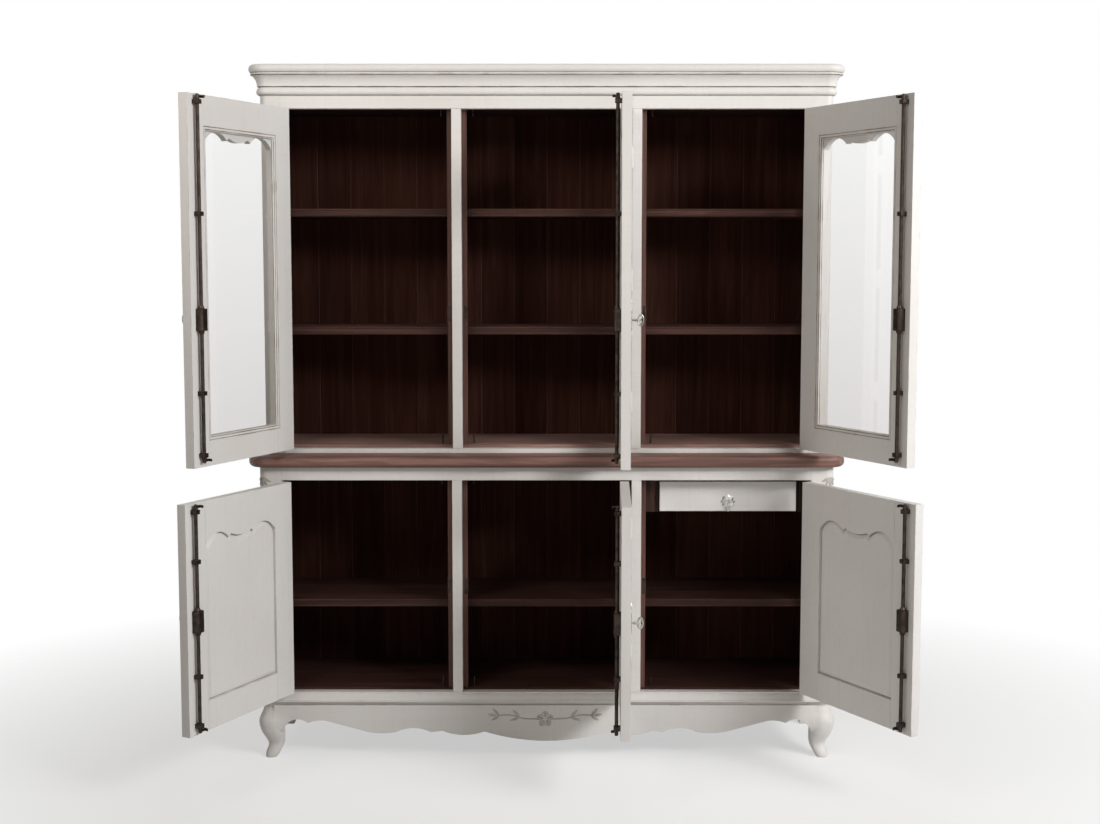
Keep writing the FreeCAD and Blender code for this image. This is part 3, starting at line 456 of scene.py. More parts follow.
def bent(bm, line, radius, across, loop=False, sides=12):  # a round bar along a line in one plane
    rings = []
    count = len(line)
    for number, spot in enumerate(line):
        before = line[number - 1] if number or loop else spot
        after = line[(number + 1) % count] if number < count - 1 or loop else spot
        side = across.cross((after - before).normalized()).normalized()
        ways = [side * cos(angle) + across * sin(angle) for angle in roundTurn(sides)]
        rings.append([spot + way * radius for way in ways])
    return loft(bm, rings, loop)


def arcThrough(start, middle, end, steps):  # points on the arc through three points of a profile
    (ax, ay), (bx, by), (cx, cy) = start, middle, end
    scale = 2 * (ax * (by - cy) + bx * (cy - ay) + cx * (ay - by))
    a2, b2, c2 = ax * ax + ay * ay, bx * bx + by * by, cx * cx + cy * cy
    x = (a2 * (by - cy) + b2 * (cy - ay) + c2 * (ay - by)) / scale
    y = (a2 * (cx - bx) + b2 * (ax - cx) + c2 * (bx - ax)) / scale
    radius = hypot(ax - x, ay - y)
    first = atan2(ay - y, ax - x)
    turn = (atan2(cy - y, cx - x) - first) % (2 * pi)
    if (atan2(by - y, bx - x) - first) % (2 * pi) > turn:
        turn -= 2 * pi
    return [(x + right, y + up) for right, up in onArc(radius, radius, evenly(first, turn, steps))]


def throughPoints(points, where):  # a smooth value through rows of (place, value)
    last = len(points) - 2
    number = next((row for row in range(last) if where <= points[row + 1][0]), last)
    before, after = points[max(number - 1, 0)], points[min(number + 2, last + 1)]
    start, end = points[number], points[number + 1]
    width = end[0] - start[0]
    share = (where - start[0]) / width
    leave = (end[1] - before[1]) / (end[0] - before[0]) * width
    arrive = (after[1] - start[1]) / (after[0] - start[0]) * width
    s2, s3 = share * share, share ** 3
    first = (2 * s3 - 3 * s2 + 1) * start[1] + (s3 - 2 * s2 + share) * leave
    return first + (3 * s2 - 2 * s3) * end[1] + (s3 - s2) * arrive


# geometry tree helpers

def newTree(name, inputs):
    tree = bpy.data.node_groups.new(name, "GeometryNodeTree")
    for label, kind, value in inputs:
        socket = tree.interface.new_socket(label, in_out="INPUT", socket_type="NodeSocket" + kind)
        if value is not None:
            socket.default_value = value
    tree.interface.new_socket("Geometry", in_out="OUTPUT", socket_type="NodeSocketGeometry")
    return tree, addNode(tree, "NodeGroupInput").outputs


def guideOf(tree, guide):
    return addNode(tree, "ObjectInfo", {"Object": guide}).outputs["Geometry"]


def endTree(tree, geometry, finish):
    real = outOf(tree, "RealizeInstances", {"Geometry": geometry})
    coat = outOf(tree, "SetMaterial", {"Geometry": real, "Material": finish})
    addNode(tree, "NodeGroupOutput", {"Geometry": coat})
    return tree


def runTree(tree, values):
    holder = linked("holder", bpy.data.meshes.new("holder"))
    modifier = holder.modifiers.new("work", "NODES")
    modifier.node_group = tree
    for item in tree.interface.items_tree:
        if item.item_type == "SOCKET" and item.in_out == "INPUT" and item.name in values:
            modifier[item.identifier] = values[item.name]
    mesh = plainMesh(holder)
    for value in values.values():
        if isinstance(value, bpy.types.Object):
            bpy.data.objects.remove(value)
    return mesh


def guideCurve(points, closed=False):
    data = bpy.data.curves.new("guide", "CURVE")
    data.dimensions = "3D"
    data.twist_mode = "Z_UP"
    spline = data.splines.new("POLY")
    spline.points.add(len(points) - 1)
    for point, spot in zip(spline.points, points):
        point.co = (*spot, 1.0)
    spline.use_cyclic_u = closed
    return linked("guide", data)


# boards: the joiner's pieces keep their sizes and get a finish and eased edges of some mm
boardFinish = {
    "upper_face_frame": (paint, 1.2),
    "lower_face_frame": (paint, 1.2),
    "upper_side_panels": (paint, 1.2),
    "lower_side_panels": (paint, 1.2),
    "front_apron": (paint, 1.8),
    "side_aprons": (paint, 1.6),
    "rear_legs": (paint, 2.0),
    "drawer_front": (paint, 1.4),
    "upper_top_board": (shelfWood, 1.0),
    "lower_top_board": (shelfWood, 1.0),
    "upper_floor_board": (floorWood, 1.0),
    "lower_floor_board": (shelfWood, 1.0),
    "upper_dividers": (postWood, 1.0),
    "lower_dividers": (postWood, 1.0),
    "stop_strips": (stripWood, 1.5),
    "drawer_guides": (postWood, 1.0),
    "drawer_sides": (shelfWood, 1.0),
    "drawer_bottom": (shelfWood, 0.6),
    "countertop": (counterWood, 1.0),
    "pull_drop": (pullSilver, 0.3),
}
hingeEase = 0.25
for node, (finish, width) in boardFinish.items():
    finishNode(node, finish, width)
finishNode("hinge_leaves_and_pins", hingePaint, hingeEase, slot="white_paint")
print("boards finished")


# drawer pull: a lobed and fluted leaf behind the rosette
rosetteSizes = {
    "x": 545.0, "front": 104.0, "z": 778.0, "half": (22.0, 19.0), "lobes": 8, "cut": 0.16,
    "edge": 0.9, "rise": 2.0, "flute": 0.9, "sunk": 0.3, "rings": 12, "sides": 96, "ease": 0.4,
}


def makeRosette():
    sizes = rosetteSizes
    rings = []
    for number, share in enumerate([1.0] + evenly(1.0, -1.0, sizes["rings"])[:-1]):
        ring = []
        for angle in roundTurn(sizes["sides"]):
            between = 0.5 - 0.5 * cos(sizes["lobes"] * angle)
            far = share * (1 - sizes["cut"] * share ** 2 * between)
            rise = sizes["edge"] + sizes["rise"] * (1 - share * share) ** 0.6
            rise -= sizes["flute"] * 4 * share * (1 - share) * between
            x = sizes["x"] + sizes["half"][0] * far * cos(angle)
            z = sizes["z"] + sizes["half"][1] * far * sin(angle)
            out = rise if number else -sizes["sunk"]  # the rim goes into the drawer front
            ring.append(spotAt(x, sizes["front"] - out, z))
        rings.append(ring)
    finishNode("pull_rosette", pullSilver, sizes["ease"], extra=[lofted(rings)])


makeRosette()


# stained linings on the inner faces of the painted sides: front, back, floor and ceiling
liningSizes = {
    "thick": 0.8, "tints": [0.3, 0.6, 0.5, 0.4],
    "upper": (140.5, 439.5, 946.0, 1950.0), "lower": (85.5, 439.5, 211.0, 853.0),
}


def makeLinings():
    bms = []
    for level in ("upper", "lower"):
        front, back, floor, ceiling = liningSizes[level]
        for shell in splitShells(level + "_side_panels"):
            low, high = shellBox(shell)
            side = 1 if low[0] > 0 else -1
            outer = min(abs(low[0]), abs(high[0])) / mm
            inner = outer - liningSizes["thick"]
            ring = [(outer, front), (outer, back), (inner, back), (inner, front)]
            bms.append(lofted([[spotAt(side * x, y, z) for x, y in ring] for z in (floor, ceiling)]))
    assemble(bms, "side_linings", postWood, "cabinet", "interior_wood", tints=liningSizes["tints"])


# shelves: two beads along each front edge with a flat between them
shelfBead = {"radius": 3.4, "proud": 1.6, "endGap": 0.5, "sides": 16, "ease": 1.6}


def makeShelves(node):
    radius, gap = shelfBead["radius"] * mm, shelfBead["endGap"] * mm
    bm = bmesh.new()
    for shell in splitShells(node):
        low, high = shellBox(shell)
        y = low[1] + radius - shelfBead["proud"] * mm
        for z in (low[2] + radius, high[2] - radius):
            ends = [Vector((low[0] + gap, y, z)), Vector((high[0] - gap, y, z))]
            bent(bm, ends, radius, Vector((0, 0, 1)), False, shelfBead["sides"])
    finishNode(node, shelfWood, shelfBead["ease"], extra=[outward(bm)])


# strike plates: a leaf let into the front of the strip beside each plate
strikeSizes = {
    "width": 9.0, "thick": 1.4, "proud": 0.3, "half": 24.0, "inset": 0.8,
    "thickest": 3.0, "leafEase": 0.25, "ease": 0.4,
}


def makeStrikes():
    sizes = strikeSizes
    strips = [shellBox(shell) for shell in splitShells("stop_strips")]
    size = spotAt(sizes["width"], sizes["thick"], 2 * sizes["half"])
    bms = []
    for shell in splitShells("bolt_catches"):
        low, high = shellBox(shell)
        if high[0] - low[0] > sizes["thickest"] * mm:  # a catch pin, not a plate
            continue
        middle = Vector([(a + b) / 2 for a, b in zip(low, high)])
        strip = min(strips, key=lambda box: sum(max(a - m, m - b, 0) for a, b, m in zip(*box, middle)))
        way = 1 if middle.x < (strip[0][0] + strip[1][0]) / 2 else -1
        edge = strip[0][0] if way > 0 else strip[1][0]
        front = strip[0][1] - sizes["proud"] * mm
        centre = Vector((edge + way * (size.x / 2 + sizes["inset"] * mm), front + size.y / 2, middle.z))
        bm = bmesh.new()
        bmesh.ops.create_cube(bm, size=1.0)
        for vertex in bm.verts:
            vertex.co = centre + vertex.co * size
        bms.append(soften(bm, sizes["leafEase"] * mm))
    finishNode("bolt_catches", bronze, sizes["ease"], extra=bms)


makeLinings()
makeShelves("upper_shelves")
makeShelves("lower_shelves")
makeStrikes()
print("shelves and strikes finished")


# mouldings: a profile run along the front, round both corners and back along the sides
crownSizes = {  # points out and up, or pairs of points that an arc runs through
    "profile": [(0, 90), (0, 1.5), (2, 1.5), ((9.0, 5), (11, 11.5)), ((8.8, 19.3), (3.8, 24.8)),
                (3.8, 27.2), (9, 27.2), ((12.5, 45.5), (23, 58.5)), (23, 61), (28, 61), (28, 65.4),
                (25, 65.4), ((33, 77.7), (25, 90))],
    "glazed": [(1.0, 2.4), (24.6, 27.4), (58.6, 61.2), (64.8, 66.4)],
    "base": 1982.0, "glaze": 1.0, "half": 847.0, "face": 112.0, "corner": 20.0,
}
waistSizes = {
    "profile": [(0, 23), (0, 0), (14, 0), (14, 5), (11, 8), ((8.25, 13.5), (1.5, 23))],
    "glazed": [(-0.5, 0.6), (4.6, 5.6)],
    "base": 177.0, "glaze": 0.4, "half": 857.0, "face": 57.0, "corner": 26.0,
}
mouldingSizes = {"back": 452.0, "arcSteps": 12, "ease": 0.6, "sharpest": 28, "weld": 1e-6}


def mouldingTree():
    tree, given = newTree("mouldingRun", [
        ("Path", "Object", None), ("Profile", "Object", None),
        ("Corner radius", "Float", 0.02), ("Corner steps", "Int", 12),
    ])
    path, profile = guideOf(tree, given["Path"]), guideOf(tree, given["Profile"])
    inputs = {"Curve": path, "Radius": given["Corner radius"], "Count": given["Corner steps"]}
    bend = outOf(tree, "FilletCurve", inputs, mode="POLY")
    inputs = {"Curve": bend, "Profile Curve": profile, "Fill Caps": True}
    return endTree(tree, outOf(tree, "CurveToMesh", inputs), paint)


def makeMoulding(tree, node, sizes):
    section = []
    for step in sizes["profile"]:
        if isinstance(step[0], tuple):
            section += arcThrough(section[-1], *step, mouldingSizes["arcSteps"])[1:]
        else:
            section.append(step)
    half, face, back = sizes["half"] * mm, sizes["face"] * mm, mouldingSizes["back"] * mm
    path = guideCurve([(-half, back, 0.0), (-half, face, 0.0), (half, face, 0.0), (half, back, 0.0)])
    profile = guideCurve([(out * mm, -(sizes["base"] + up) * mm, 0.0) for out, up in section], True)
    mesh = runTree(tree, {"Path": path, "Profile": profile, "Corner radius": sizes["corner"] * mm})
    bm = bmesh.new()
    bm.from_mesh(mesh)
    bmesh.ops.remove_doubles(bm, verts=bm.verts, dist=mouldingSizes["weld"])
    soften(outward(bm), mouldingSizes["ease"] * mm, mouldingSizes["sharpest"])
    # bands of the profile at the quirks, steps and undersides get brown glaze and painted shade
    for part in bm.faces:
        height = part.calc_center_median().z / mm - sizes["base"]
        if any(low <= height <= high for low, high in sizes["glazed"]):
            part[glazeAndPaintedLightLayer(bm)] = sizes["glaze"]
    assemble([bm], node + "_run", paint, "cabinet", "white_paint", node)


runs = mouldingTree()
makeMoulding(runs, "cornice", crownSizes)
makeMoulding(runs, "waist_moulding", waistSizes)
print("mouldings run")


# back boards: one bevelled board repeated across each cabinet, each with its own stain
slatSizes = {"pitch": 103.0, "groove": 2.2, "rearGroove": 4.0, "ease": 0.5, "seeds": (11, 16)}


def slatTree():
    tree, given = newTree("backBoards", [
        ("Board", "Object", None), ("Count", "Int", 16), ("Pitch", "Float", 0.1), ("Seed", "Int", 1),
    ])
    step = outOf(tree, "ShaderNodeCombineXYZ", {"X": given["Pitch"]})
    inputs = {"Count": given["Count"], "Offset": step}
    line = outOf(tree, "MeshLine", inputs, mode="OFFSET")
    inputs = {"Points": line, "Instance": guideOf(tree, given["Board"])}
    laid = outOf(tree, "InstanceOnPoints", inputs)
    draw = addNode(tree, "FunctionNodeRandomValue", {8: given["Seed"]}, data_type="FLOAT").outputs[1]
    inputs = {"Geometry": laid, "Name": "tint", "Value": draw}
    stained = outOf(tree, "StoreNamedAttribute", inputs, data_type="FLOAT", domain="INSTANCE")
    return endTree(tree, stained, backWood)


def makeSlats(tree, node, seed):
    low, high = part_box(node)
    count = round((high[0] - low[0]) / (slatSizes["pitch"] * mm))
    pitch = (high[0] - low[0]) / count
    groove, rear = slatSizes["groove"] * mm, slatSizes["rearGroove"] * mm
    half = [(rear, high[1]), (0, high[1] - rear), (0, low[1] + groove), (groove, low[1])]
    section = half + [(pitch - x, y) for x, y in half[::-1]]
    bm = lofted([[(low[0] + x, y, z) for x, y in section] for z in (low[2], high[2])])
    glazeAndPaintedLight = glazeAndPaintedLightLayer(bm)
    for part in bm.faces:
        part[glazeAndPaintedLight] = 1.0 if 0.2 < abs(part.normal.x) < 0.9 else 0.0  # the slopes of the joints, which the stain lightens as a painted highlight
    board = linked("guide", meshFrom(soften(bm, slatSizes["ease"] * mm), "guide"))
    mesh = runTree(tree, {"Board": board, "Count": count, "Pitch": pitch, "Seed": seed})
    place(smoothed(mesh), node + "_laid", backWood, "cabinet", "interior_wood", node)


slats = slatTree()
makeSlats(slats, "upper_back_boards", slatSizes["seeds"][0])
makeSlats(slats, "lower_back_boards", slatSizes["seeds"][1])
print("back boards laid")


# cabriole legs: a slightly squared section that swells at the knee and turns out at the foot
legSizes = {
    "radius": [(0, 16.5), (3, 18.5), (12, 21.5), (40, 24.5), (80, 35.5), (115, 38), (142, 34.5), (165, 32)],
    "reach": [(0, 13.5), (12, 10), (40, 0), (80, 8), (115, 12), (142, 5.5), (165, 0)],
    "centre": (822.0, 92.0), "height": 165.0, "rings": 56, "sides": 56, "arris": 0.03,
    "ease": 0.8, "sharpest": 40,
}
# brackets that lead the apron's edge into the knee: inner edge, front and turn towards the leg by height
earSizes = {
    "inner": [(60, 804), (66, 800), (74, 798), (82, 796.5), (90, 794), (98, 790.6), (103.4, 786.6),
              (110.9, 779.6), (116.6, 772), (165, 772)],
    "front": [(60, 90), (66, 80), (74, 69), (82, 60), (90, 55), (98, 53), (104, 52.8), (165, 52.8)],
    "turn": [(60, 808), (66, 803), (74, 801), (82, 799.5), (90, 798), (98, 796), (105, 794.5), (115, 794),
             (140, 799), (165, 806)],
    "low": 60, "high": 164.5, "rings": 42, "snug": 0.985, "arris": 1.2,
    "back": 76.0, "thinnest": 2, "behind": 6,
    "corner": 914.0, "setBack": 4.0, "sideInner": 790.5,  # the bracket beside the leg mirrors the front one
}


def legAxis(height):
    reach = throughPoints(legSizes["reach"], height)
    return legSizes["centre"][0] + reach, legSizes["centre"][1] - reach


def earSection(height, setBack):
    radius = throughPoints(legSizes["radius"], height) * earSizes["snug"]
    x, y = legAxis(height)
    inner, front, turn = [throughPoints(earSizes[name], height) for name in ("inner", "front", "turn")]
    if setBack:
        inner, front = max(inner, earSizes["sideInner"]), max(front, earSizes["front"][-1][1] + setBack)
    far = hypot(turn - x, front - y)
    touch = (turn, front)
    if far > radius:
        angle = atan2(front - y, turn - x) + acos(min(radius / far, 1.0))
        touch = (x + radius * cos(angle), y + radius * sin(angle))
    back, arris = max(earSizes["back"], front + earSizes["thinnest"]), earSizes["arris"]
    edge = [(inner, front + arris), (inner + arris / 3, front + arris / 3), (inner + arris, front)]
    rear = [(x, y), (x, back + earSizes["behind"]), (inner, back), (inner, (front + back) / 2)]
    return [*rear, *edge, (turn, front), touch]


def makeEar(side, beside):
    corner = earSizes["corner"]
    rings = []
    for height in evenly(earSizes["low"], earSizes["high"] - earSizes["low"], earSizes["rings"]):
        line = earSection(height, earSizes["setBack"] if beside else 0.0)
        if beside:
            line = [(corner - y, corner - x) for x, y in line]
        rings.append([spotAt(x * side, y, height) for x, y in line])
    return lofted(rings)


def makeLegs():
    bms = []
    for side in (-1, 1):
        rings = []
        for height in evenly(0.0, legSizes["height"], legSizes["rings"]):
            radius = throughPoints(legSizes["radius"], height)
            x, y = legAxis(height)
            ring = []
            for angle in roundTurn(legSizes["sides"]):
                span = radius * (1 + legSizes["arris"] * cos(4 * (angle - pi / 4)))
                ring.append(spotAt(x * side + span * cos(angle), y + span * sin(angle), height))
            rings.append(ring)
        leg = soften(lofted(rings), legSizes["ease"] * mm, legSizes["sharpest"])
        bms += [leg, makeEar(side, False), makeEar(side, True)]
    assemble(bms, "cabriole_legs", paint, "cabinet", "white_paint", "front_legs")


makeLegs()
print("legs shaped")


# carving: leaves with a hollow rib, each from its spot, angle, length and width
leafSizes = {"rows": 12, "columns": 9, "ends": (0.015, 0.97), "rib": (0.45, 0.16), "sunk": (0.15, 0.8)}


def addLeaf(bm, onto, spot, angle, length, width, proud, widest=0.75):
    sizes = leafSizes
    glazeAndPaintedLight = glazeAndPaintedLightLayer(bm)
    turn = radians(angle)
    ribDepth, ribWidth = sizes["rib"]
    edgeSunk, backSunk = sizes["sunk"]
    rings = []
    for share in evenly(*sizes["ends"], sizes["rows"]):
        half = width / 2 * sin(pi * share ** widest) ** 0.8
        crown = proud * sin(pi * share) ** 0.5
        x, z = spot[0] + share * length * cos(turn), spot[1] + share * length * sin(turn)
        ring = []
        for across in evenly(-1, 2, sizes["columns"] - 1):
            rise = crown * max(1 - across * across, 0) ** 0.6
            rise -= ribDepth * crown * exp(-(across / ribWidth) ** 2)
            aside = (x - across * half * sin(turn), z + across * half * cos(turn))
            ring.append(onto(*aside, rise - edgeSunk))
        rings.append(ring + [onto(x, z, -backSunk)])
    for strip in loft(bm, rings):
        for number, part in enumerate(strip):
            part[glazeAndPaintedLight] = 0.4 if number in (1, 2, 5, 6) else 1.0  # brown glaze and painted shade lie on the rib and the rim, less of them on the rest of the leaf


# a flower with a leafy stem to both sides on the apron
sprigSizes = {
    "face": 53.0, "flower": (-5.0, 122.5), "proud": 2.4,
    "petals": 5, "petal": (23.0, 19.0), "petalFrom": 3, "petalWidest": 1.35,
    "eye": 5.2, "eyeHeight": 0.7, "eyeSunk": 0.5, "eyeAngles": (0.0, 0.3, 0.6, 0.9, 1.2, 1.45),
    "stem": [(22, 122.5), (62, 124), (79, 128), (100, 134), (126, 135), (146, 132.5)],
    "stemRadius": 1.6, "stemProud": 0.4, "stemSteps": 24, "stemGlazeShade": 0.85,
    "leaves": [(77, 129, 47, 31, 8.5), (79, 126, -17, 29, 8.5), (139, 133, 50, 31, 8.5),
               (139, 131, -30, 27, 8.5), (147, 133, 9, 27, 8.5)],
}


def makeCarving():
    sizes = sprigSizes

    def onApron(x, z, out):
        return spotAt(x, sizes["face"] - out, z)

    bm = bmesh.new()
    flowerX, flowerZ = sizes["flower"]
    for number in range(sizes["petals"]):
        angle = 90 + 360 * number / sizes["petals"]
        way = radians(angle)
        start = (flowerX + sizes["petalFrom"] * cos(way), flowerZ + sizes["petalFrom"] * sin(way))
        addLeaf(bm, onApron, start, angle, *sizes["petal"], sizes["proud"], sizes["petalWidest"])
    eye = onApron(flowerX, flowerZ, -sizes["eyeSunk"])
    eye = Matrix.Translation(eye) @ Matrix.Rotation(pi / 2, 4, "X")
    size = sizes["eye"] * mm
    turned(bm, onArc(size, size * sizes["eyeHeight"], sizes["eyeAngles"]), eye, 20)
    first, last = sizes["stem"][0][0], sizes["stem"][-1][0]
    for side in (-1, 1):
        spots = [(x, throughPoints(sizes["stem"], x)) for x in evenly(first, last - first, sizes["stemSteps"])]
        line = [onApron(flowerX + side * x, z, sizes["stemProud"]) for x, z in spots]
        # the stems take brown glaze and painted shade all over
        for strip in bent(bm, line, sizes["stemRadius"] * mm, Vector((0, 1, 0)), False, 10):
            for part in strip:
                part[glazeAndPaintedLightLayer(bm)] = sizes["stemGlazeShade"]
        for x, z, angle, length, width in sizes["leaves"]:
            lean = angle if side > 0 else 180 - angle
            addLeaf(bm, onApron, (flowerX + side * x, z), lean, length, width, sizes["proud"])
    assemble([outward(bm)], "apron_sprig", paint, "cabinet", "white_paint", angle=40)


# a fan of leaves round each corner of the lower cabinet
cornerLeaves = {
    "axis": (831.0, 83.0), "radius": 26.0, "proud": 2.6,
    "leaves": [(-5, 857, -90, 40, 11), (-6, 856, -122, 32, 10), (-4, 856, -58, 32, 10),
               (-7, 856, -154, 29, 9), (-3, 856, -26, 29, 9)],
}


def makeCornerLeaves():
    radius = cornerLeaves["radius"]
    middle = -pi / 4
    bm = bmesh.new()
    for side in (-1, 1):

        def onCorner(x, z, out):  # round the corner, and straight on along the faces beside it
            bend = max(min(x, -middle * radius), middle * radius)
            angle = middle + bend / radius
            spot = Vector((cos(angle), sin(angle))) * (radius + out) + Vector(cornerLeaves["axis"])
            spot += Vector((-sin(angle), cos(angle))) * (x - bend)
            return spotAt(side * spot.x, spot.y, z)

        for x, z, angle, length, width in cornerLeaves["leaves"]:
            addLeaf(bm, onCorner, (x, z), angle, length, width, cornerLeaves["proud"])
    assemble([outward(bm)], "corner_leaves", paint, "cabinet", "white_paint", angle=40)


makeCarving()
makeCornerLeaves()
print("carving cut")


# doors, drawn about the hinge axis: along the door, through it and up
doorNames = [level + "_" + bay for level in ("upper", "lower") for bay in ("left", "middle", "right")]
doorSizes = {
    "front": 7.0, "rod": (471.5, 45.0), "key": 458.5, "ease": 1.2, "fittingEase": 0.7,
    "beadsFrom": 20, "leafReach": 20, "plateDepth": 1, "guideHeight": 50,
}
joints = {joint["name"]: joint for joint in frame["record"]["behaviour"]["joints"]}


# clear panes, a hair off the wood that they lie against
paneSizes = {
    "near": 75.5, "far": 428.5, "front": 24.5, "back": 27.5, "low": 1008.5, "top": 1859.5, "ease": 0.4,
}


def makePane(door, at):
    sizes = paneSizes
    ring = [("near", "low"), ("far", "low"), ("far", "top"), ("near", "top")]
    bm = lofted([[at(sizes[x], sizes[y], sizes[z]) for x, z in ring] for y in ("front", "back")])
    bmesh.ops.bevel(bm, geom=bm.edges[:], offset=sizes["ease"] * mm, segments=1, affect="EDGES")
    place(meshFrom(bm, door + "_pane"), door + "_pane", glass, door + "_door", "glass", door + "_door_glass")


# moulded beads that hold the panes from inside, mitred at the corners
beadSizes = {
    "near": 87.5, "far": 416.5, "low": 1020.0, "top": 1848.0,
    "section": [(13, 27.8), (0.2, 27.8), (0.2, 29.2), (0.9, 30.4), (2.2, 31.2), (4.2, 30.8), (4.8, 32.4),
                (6.6, 33.0), (8.4, 33.2), (10.2, 32.8), (11.0, 31.6), (11.6, 31.4), (12.2, 33.1), (13, 33.3)],
    "dark": (4, 5, 9, 10, 11),
}


def makeBeads(at):
    bm = bmesh.new()
    glazeAndPaintedLight = glazeAndPaintedLightLayer(bm)
    rings = []
    for side, level in ((-1, -1), (1, -1), (1, 1), (-1, 1)):
        x = beadSizes["near"] if side < 0 else beadSizes["far"]
        z = beadSizes["low"] if level < 0 else beadSizes["top"]
        rings.append([at(x + side * out, through, z + level * out) for out, through in beadSizes["section"]])
    # the hollows of the bead are darkened with brown glaze and painted shade
    for strip in loft(bm, rings, True):
        for number in beadSizes["dark"]:
            strip[number][glazeAndPaintedLight] = 1.0
    return outward(bm)


# key plates: a domed leaf with a waist, tips and beads
plateSizes = {
    "half": 55.0, "edge": 0.9, "dome": 2.2, "sunk": 0.2, "rows": 60, "columns": 10,
    "swells": [(10.5, 0.0, 0.2), (5.2, 0.42, 0.11), (4.2, 0.8, 0.1)],  # width, place and reach
    "neck": 2.6, "tip": 0.2,  # half widths between the swells and at the ends
    "beads": [(33.0, 2.3), (41.0, 2.0), (48.0, 1.6)],  # distance from the middle and radius
}


def plateWidth(share):
    far = abs(share)
    width = sum(wide * exp(-((far - where) / reach) ** 2) for wide, where, reach in plateSizes["swells"])
    return (width + plateSizes["neck"]) * max(1 - far ** 10, 0) ** 0.5 + plateSizes["tip"]


def makePlate(door, at, lock):
    sizes = plateSizes
    front, key = doorSizes["front"], doorSizes["key"]
    bm = bmesh.new()
    rings = []
    for share in evenly(-1, 2, sizes["rows"]):
        half = plateWidth(share)
        height = lock + share * sizes["half"]
        ring = [at(key - half, front + sizes["sunk"], height)]
        for across in evenly(-1, 2, sizes["columns"]):
            rise = sizes["edge"] + (sizes["dome"] - sizes["edge"]) * sqrt(max(1 - across * across, 0))
            ring.append(at(key + half * across, front - rise, height))
        rings.append(ring + [at(key + half, front + sizes["sunk"], height)])
    loft(bm, rings)
    for far, radius in sizes["beads"]:
        ball = onArc(radius * mm, radius * mm, evenly(-1.5, 3.0, 8))
        for level in (-1, 1):
            turned(bm, ball, Matrix.Translation(at(key, front - sizes["dome"], lock + level * far)), 14)
    assemble([outward(bm)], door + "_key_plate", plateSilver, door + "_door", "silver", angle=40)


# keys: an oval bow with two inner scrolls, a turned collar and a shank
keySizes = {
    "bowDepth": 19.5, "bowHeight": 33.5, "reach": 15.5, "bar": 2.0, "bowSteps": 48,
    "scroll": (3.4, 4.6), "scrollBar": 1.2, "scrollSpot": (0.6, 6.2), "scrollSteps": 28,
    "shank": [(2.55, 33.0), (2.55, -6.0), (3.4, -6.4), (3.9, -7.2), (3.4, -8.0), (2.7, -8.4), (2.7, -9.4),
              (3.6, -9.8), (4.4, -11.0), (4.4, -12.2), (3.4, -13.4), (2.6, -13.8), (2.2, -17.2)],
}


def makeKey(door, at, lock, turn):
    sizes = keySizes
    front, key = doorSizes["front"], doorSizes["key"]
    across = (turn.to_3x3() @ Vector((1, 0, 0))).normalized()
    middle = front - sizes["reach"] - sizes["bowDepth"] / 2

    def oval(deep, tall, shift, lift, steps):
        spots = onArc(deep, tall, roundTurn(steps))
        return [at(key, middle + shift + x, lock + lift + z) for x, z in spots]

    bm = bmesh.new()
    bar = sizes["bar"]
    bow = oval(sizes["bowDepth"] / 2 - bar, sizes["bowHeight"] / 2 - bar, 0, 0, sizes["bowSteps"])
    bent(bm, bow, bar * mm, across, True)
    shift, lift = sizes["scrollSpot"]
    for level in (-1, 1):
        scroll = oval(*sizes["scroll"], shift, level * lift, sizes["scrollSteps"])
        bent(bm, scroll, sizes["scrollBar"] * mm, across, True, 10)
    axis = turn.to_3x3().to_4x4() @ Matrix.Rotation(-pi / 2, 4, "X")
    shank = [(radius * mm, along * mm) for radius, along in sizes["shank"]]
    turned(bm, shank, Matrix.Translation(at(key, front, lock)) @ axis)
    assemble([outward(bm)], door + "_turned_key", silver, door + "_key", "silver", door + "_key", angle=40)


# lock cases: a cast box with round front edges, eased at its ends by height and inset
caseSizes = {
    "near": 450.5, "far": 482.5, "back": 33.8, "front": 53.6, "round": 8.0, "half": 30.0,
    "ease": [(0.0, 1.6), (0.5, 0.5), (1.6, 0.0)],
}


def caseOutline(inset):
    sizes = caseSizes
    near, far, front = sizes["near"] + inset, sizes["far"] - inset, sizes["front"] - inset
    line = [(near, sizes["back"])]
    bend = sizes["round"]
    for centre, start in ((near + bend, pi), (far - bend, pi / 2)):
        for angle in evenly(start, -pi / 2, 8):
            line.append((centre + bend * cos(angle), front + bend * (sin(angle) - 1)))
    return line + [(far, sizes["back"])]


def makeCase(at, lock):
    levels = [(-caseSizes["half"] + up, inset) for up, inset in caseSizes["ease"]]
    levels += [(-level, inset) for level, inset in levels[::-1]]
    return lofted([[at(x, y, lock + level) for x, y in caseOutline(inset)] for level, inset in levels])


# bolt rods: collars beside the hooks, cones beside the lock case, and rounded ends
rodSizes = {
    "upper": (958.0, 1935.0), "lower": (221.0, 838.0), "ease": 0.5,
    "collar": [(5.28, -1.9), (6.6, -0.95), (6.6, 0.95), (5.28, 1.9)], "fromHook": 5.8,
    "cone": [(7.38, 30.4), (8.2, 31.2), (8.2, 32.6), (5.4, 39.0)],  # radius and distance from the key
    "dome": (5.0, 2.2), "domeAngles": (0.0, 0.4, 0.8, 1.15, 1.45), "domeFrom": 5,
}


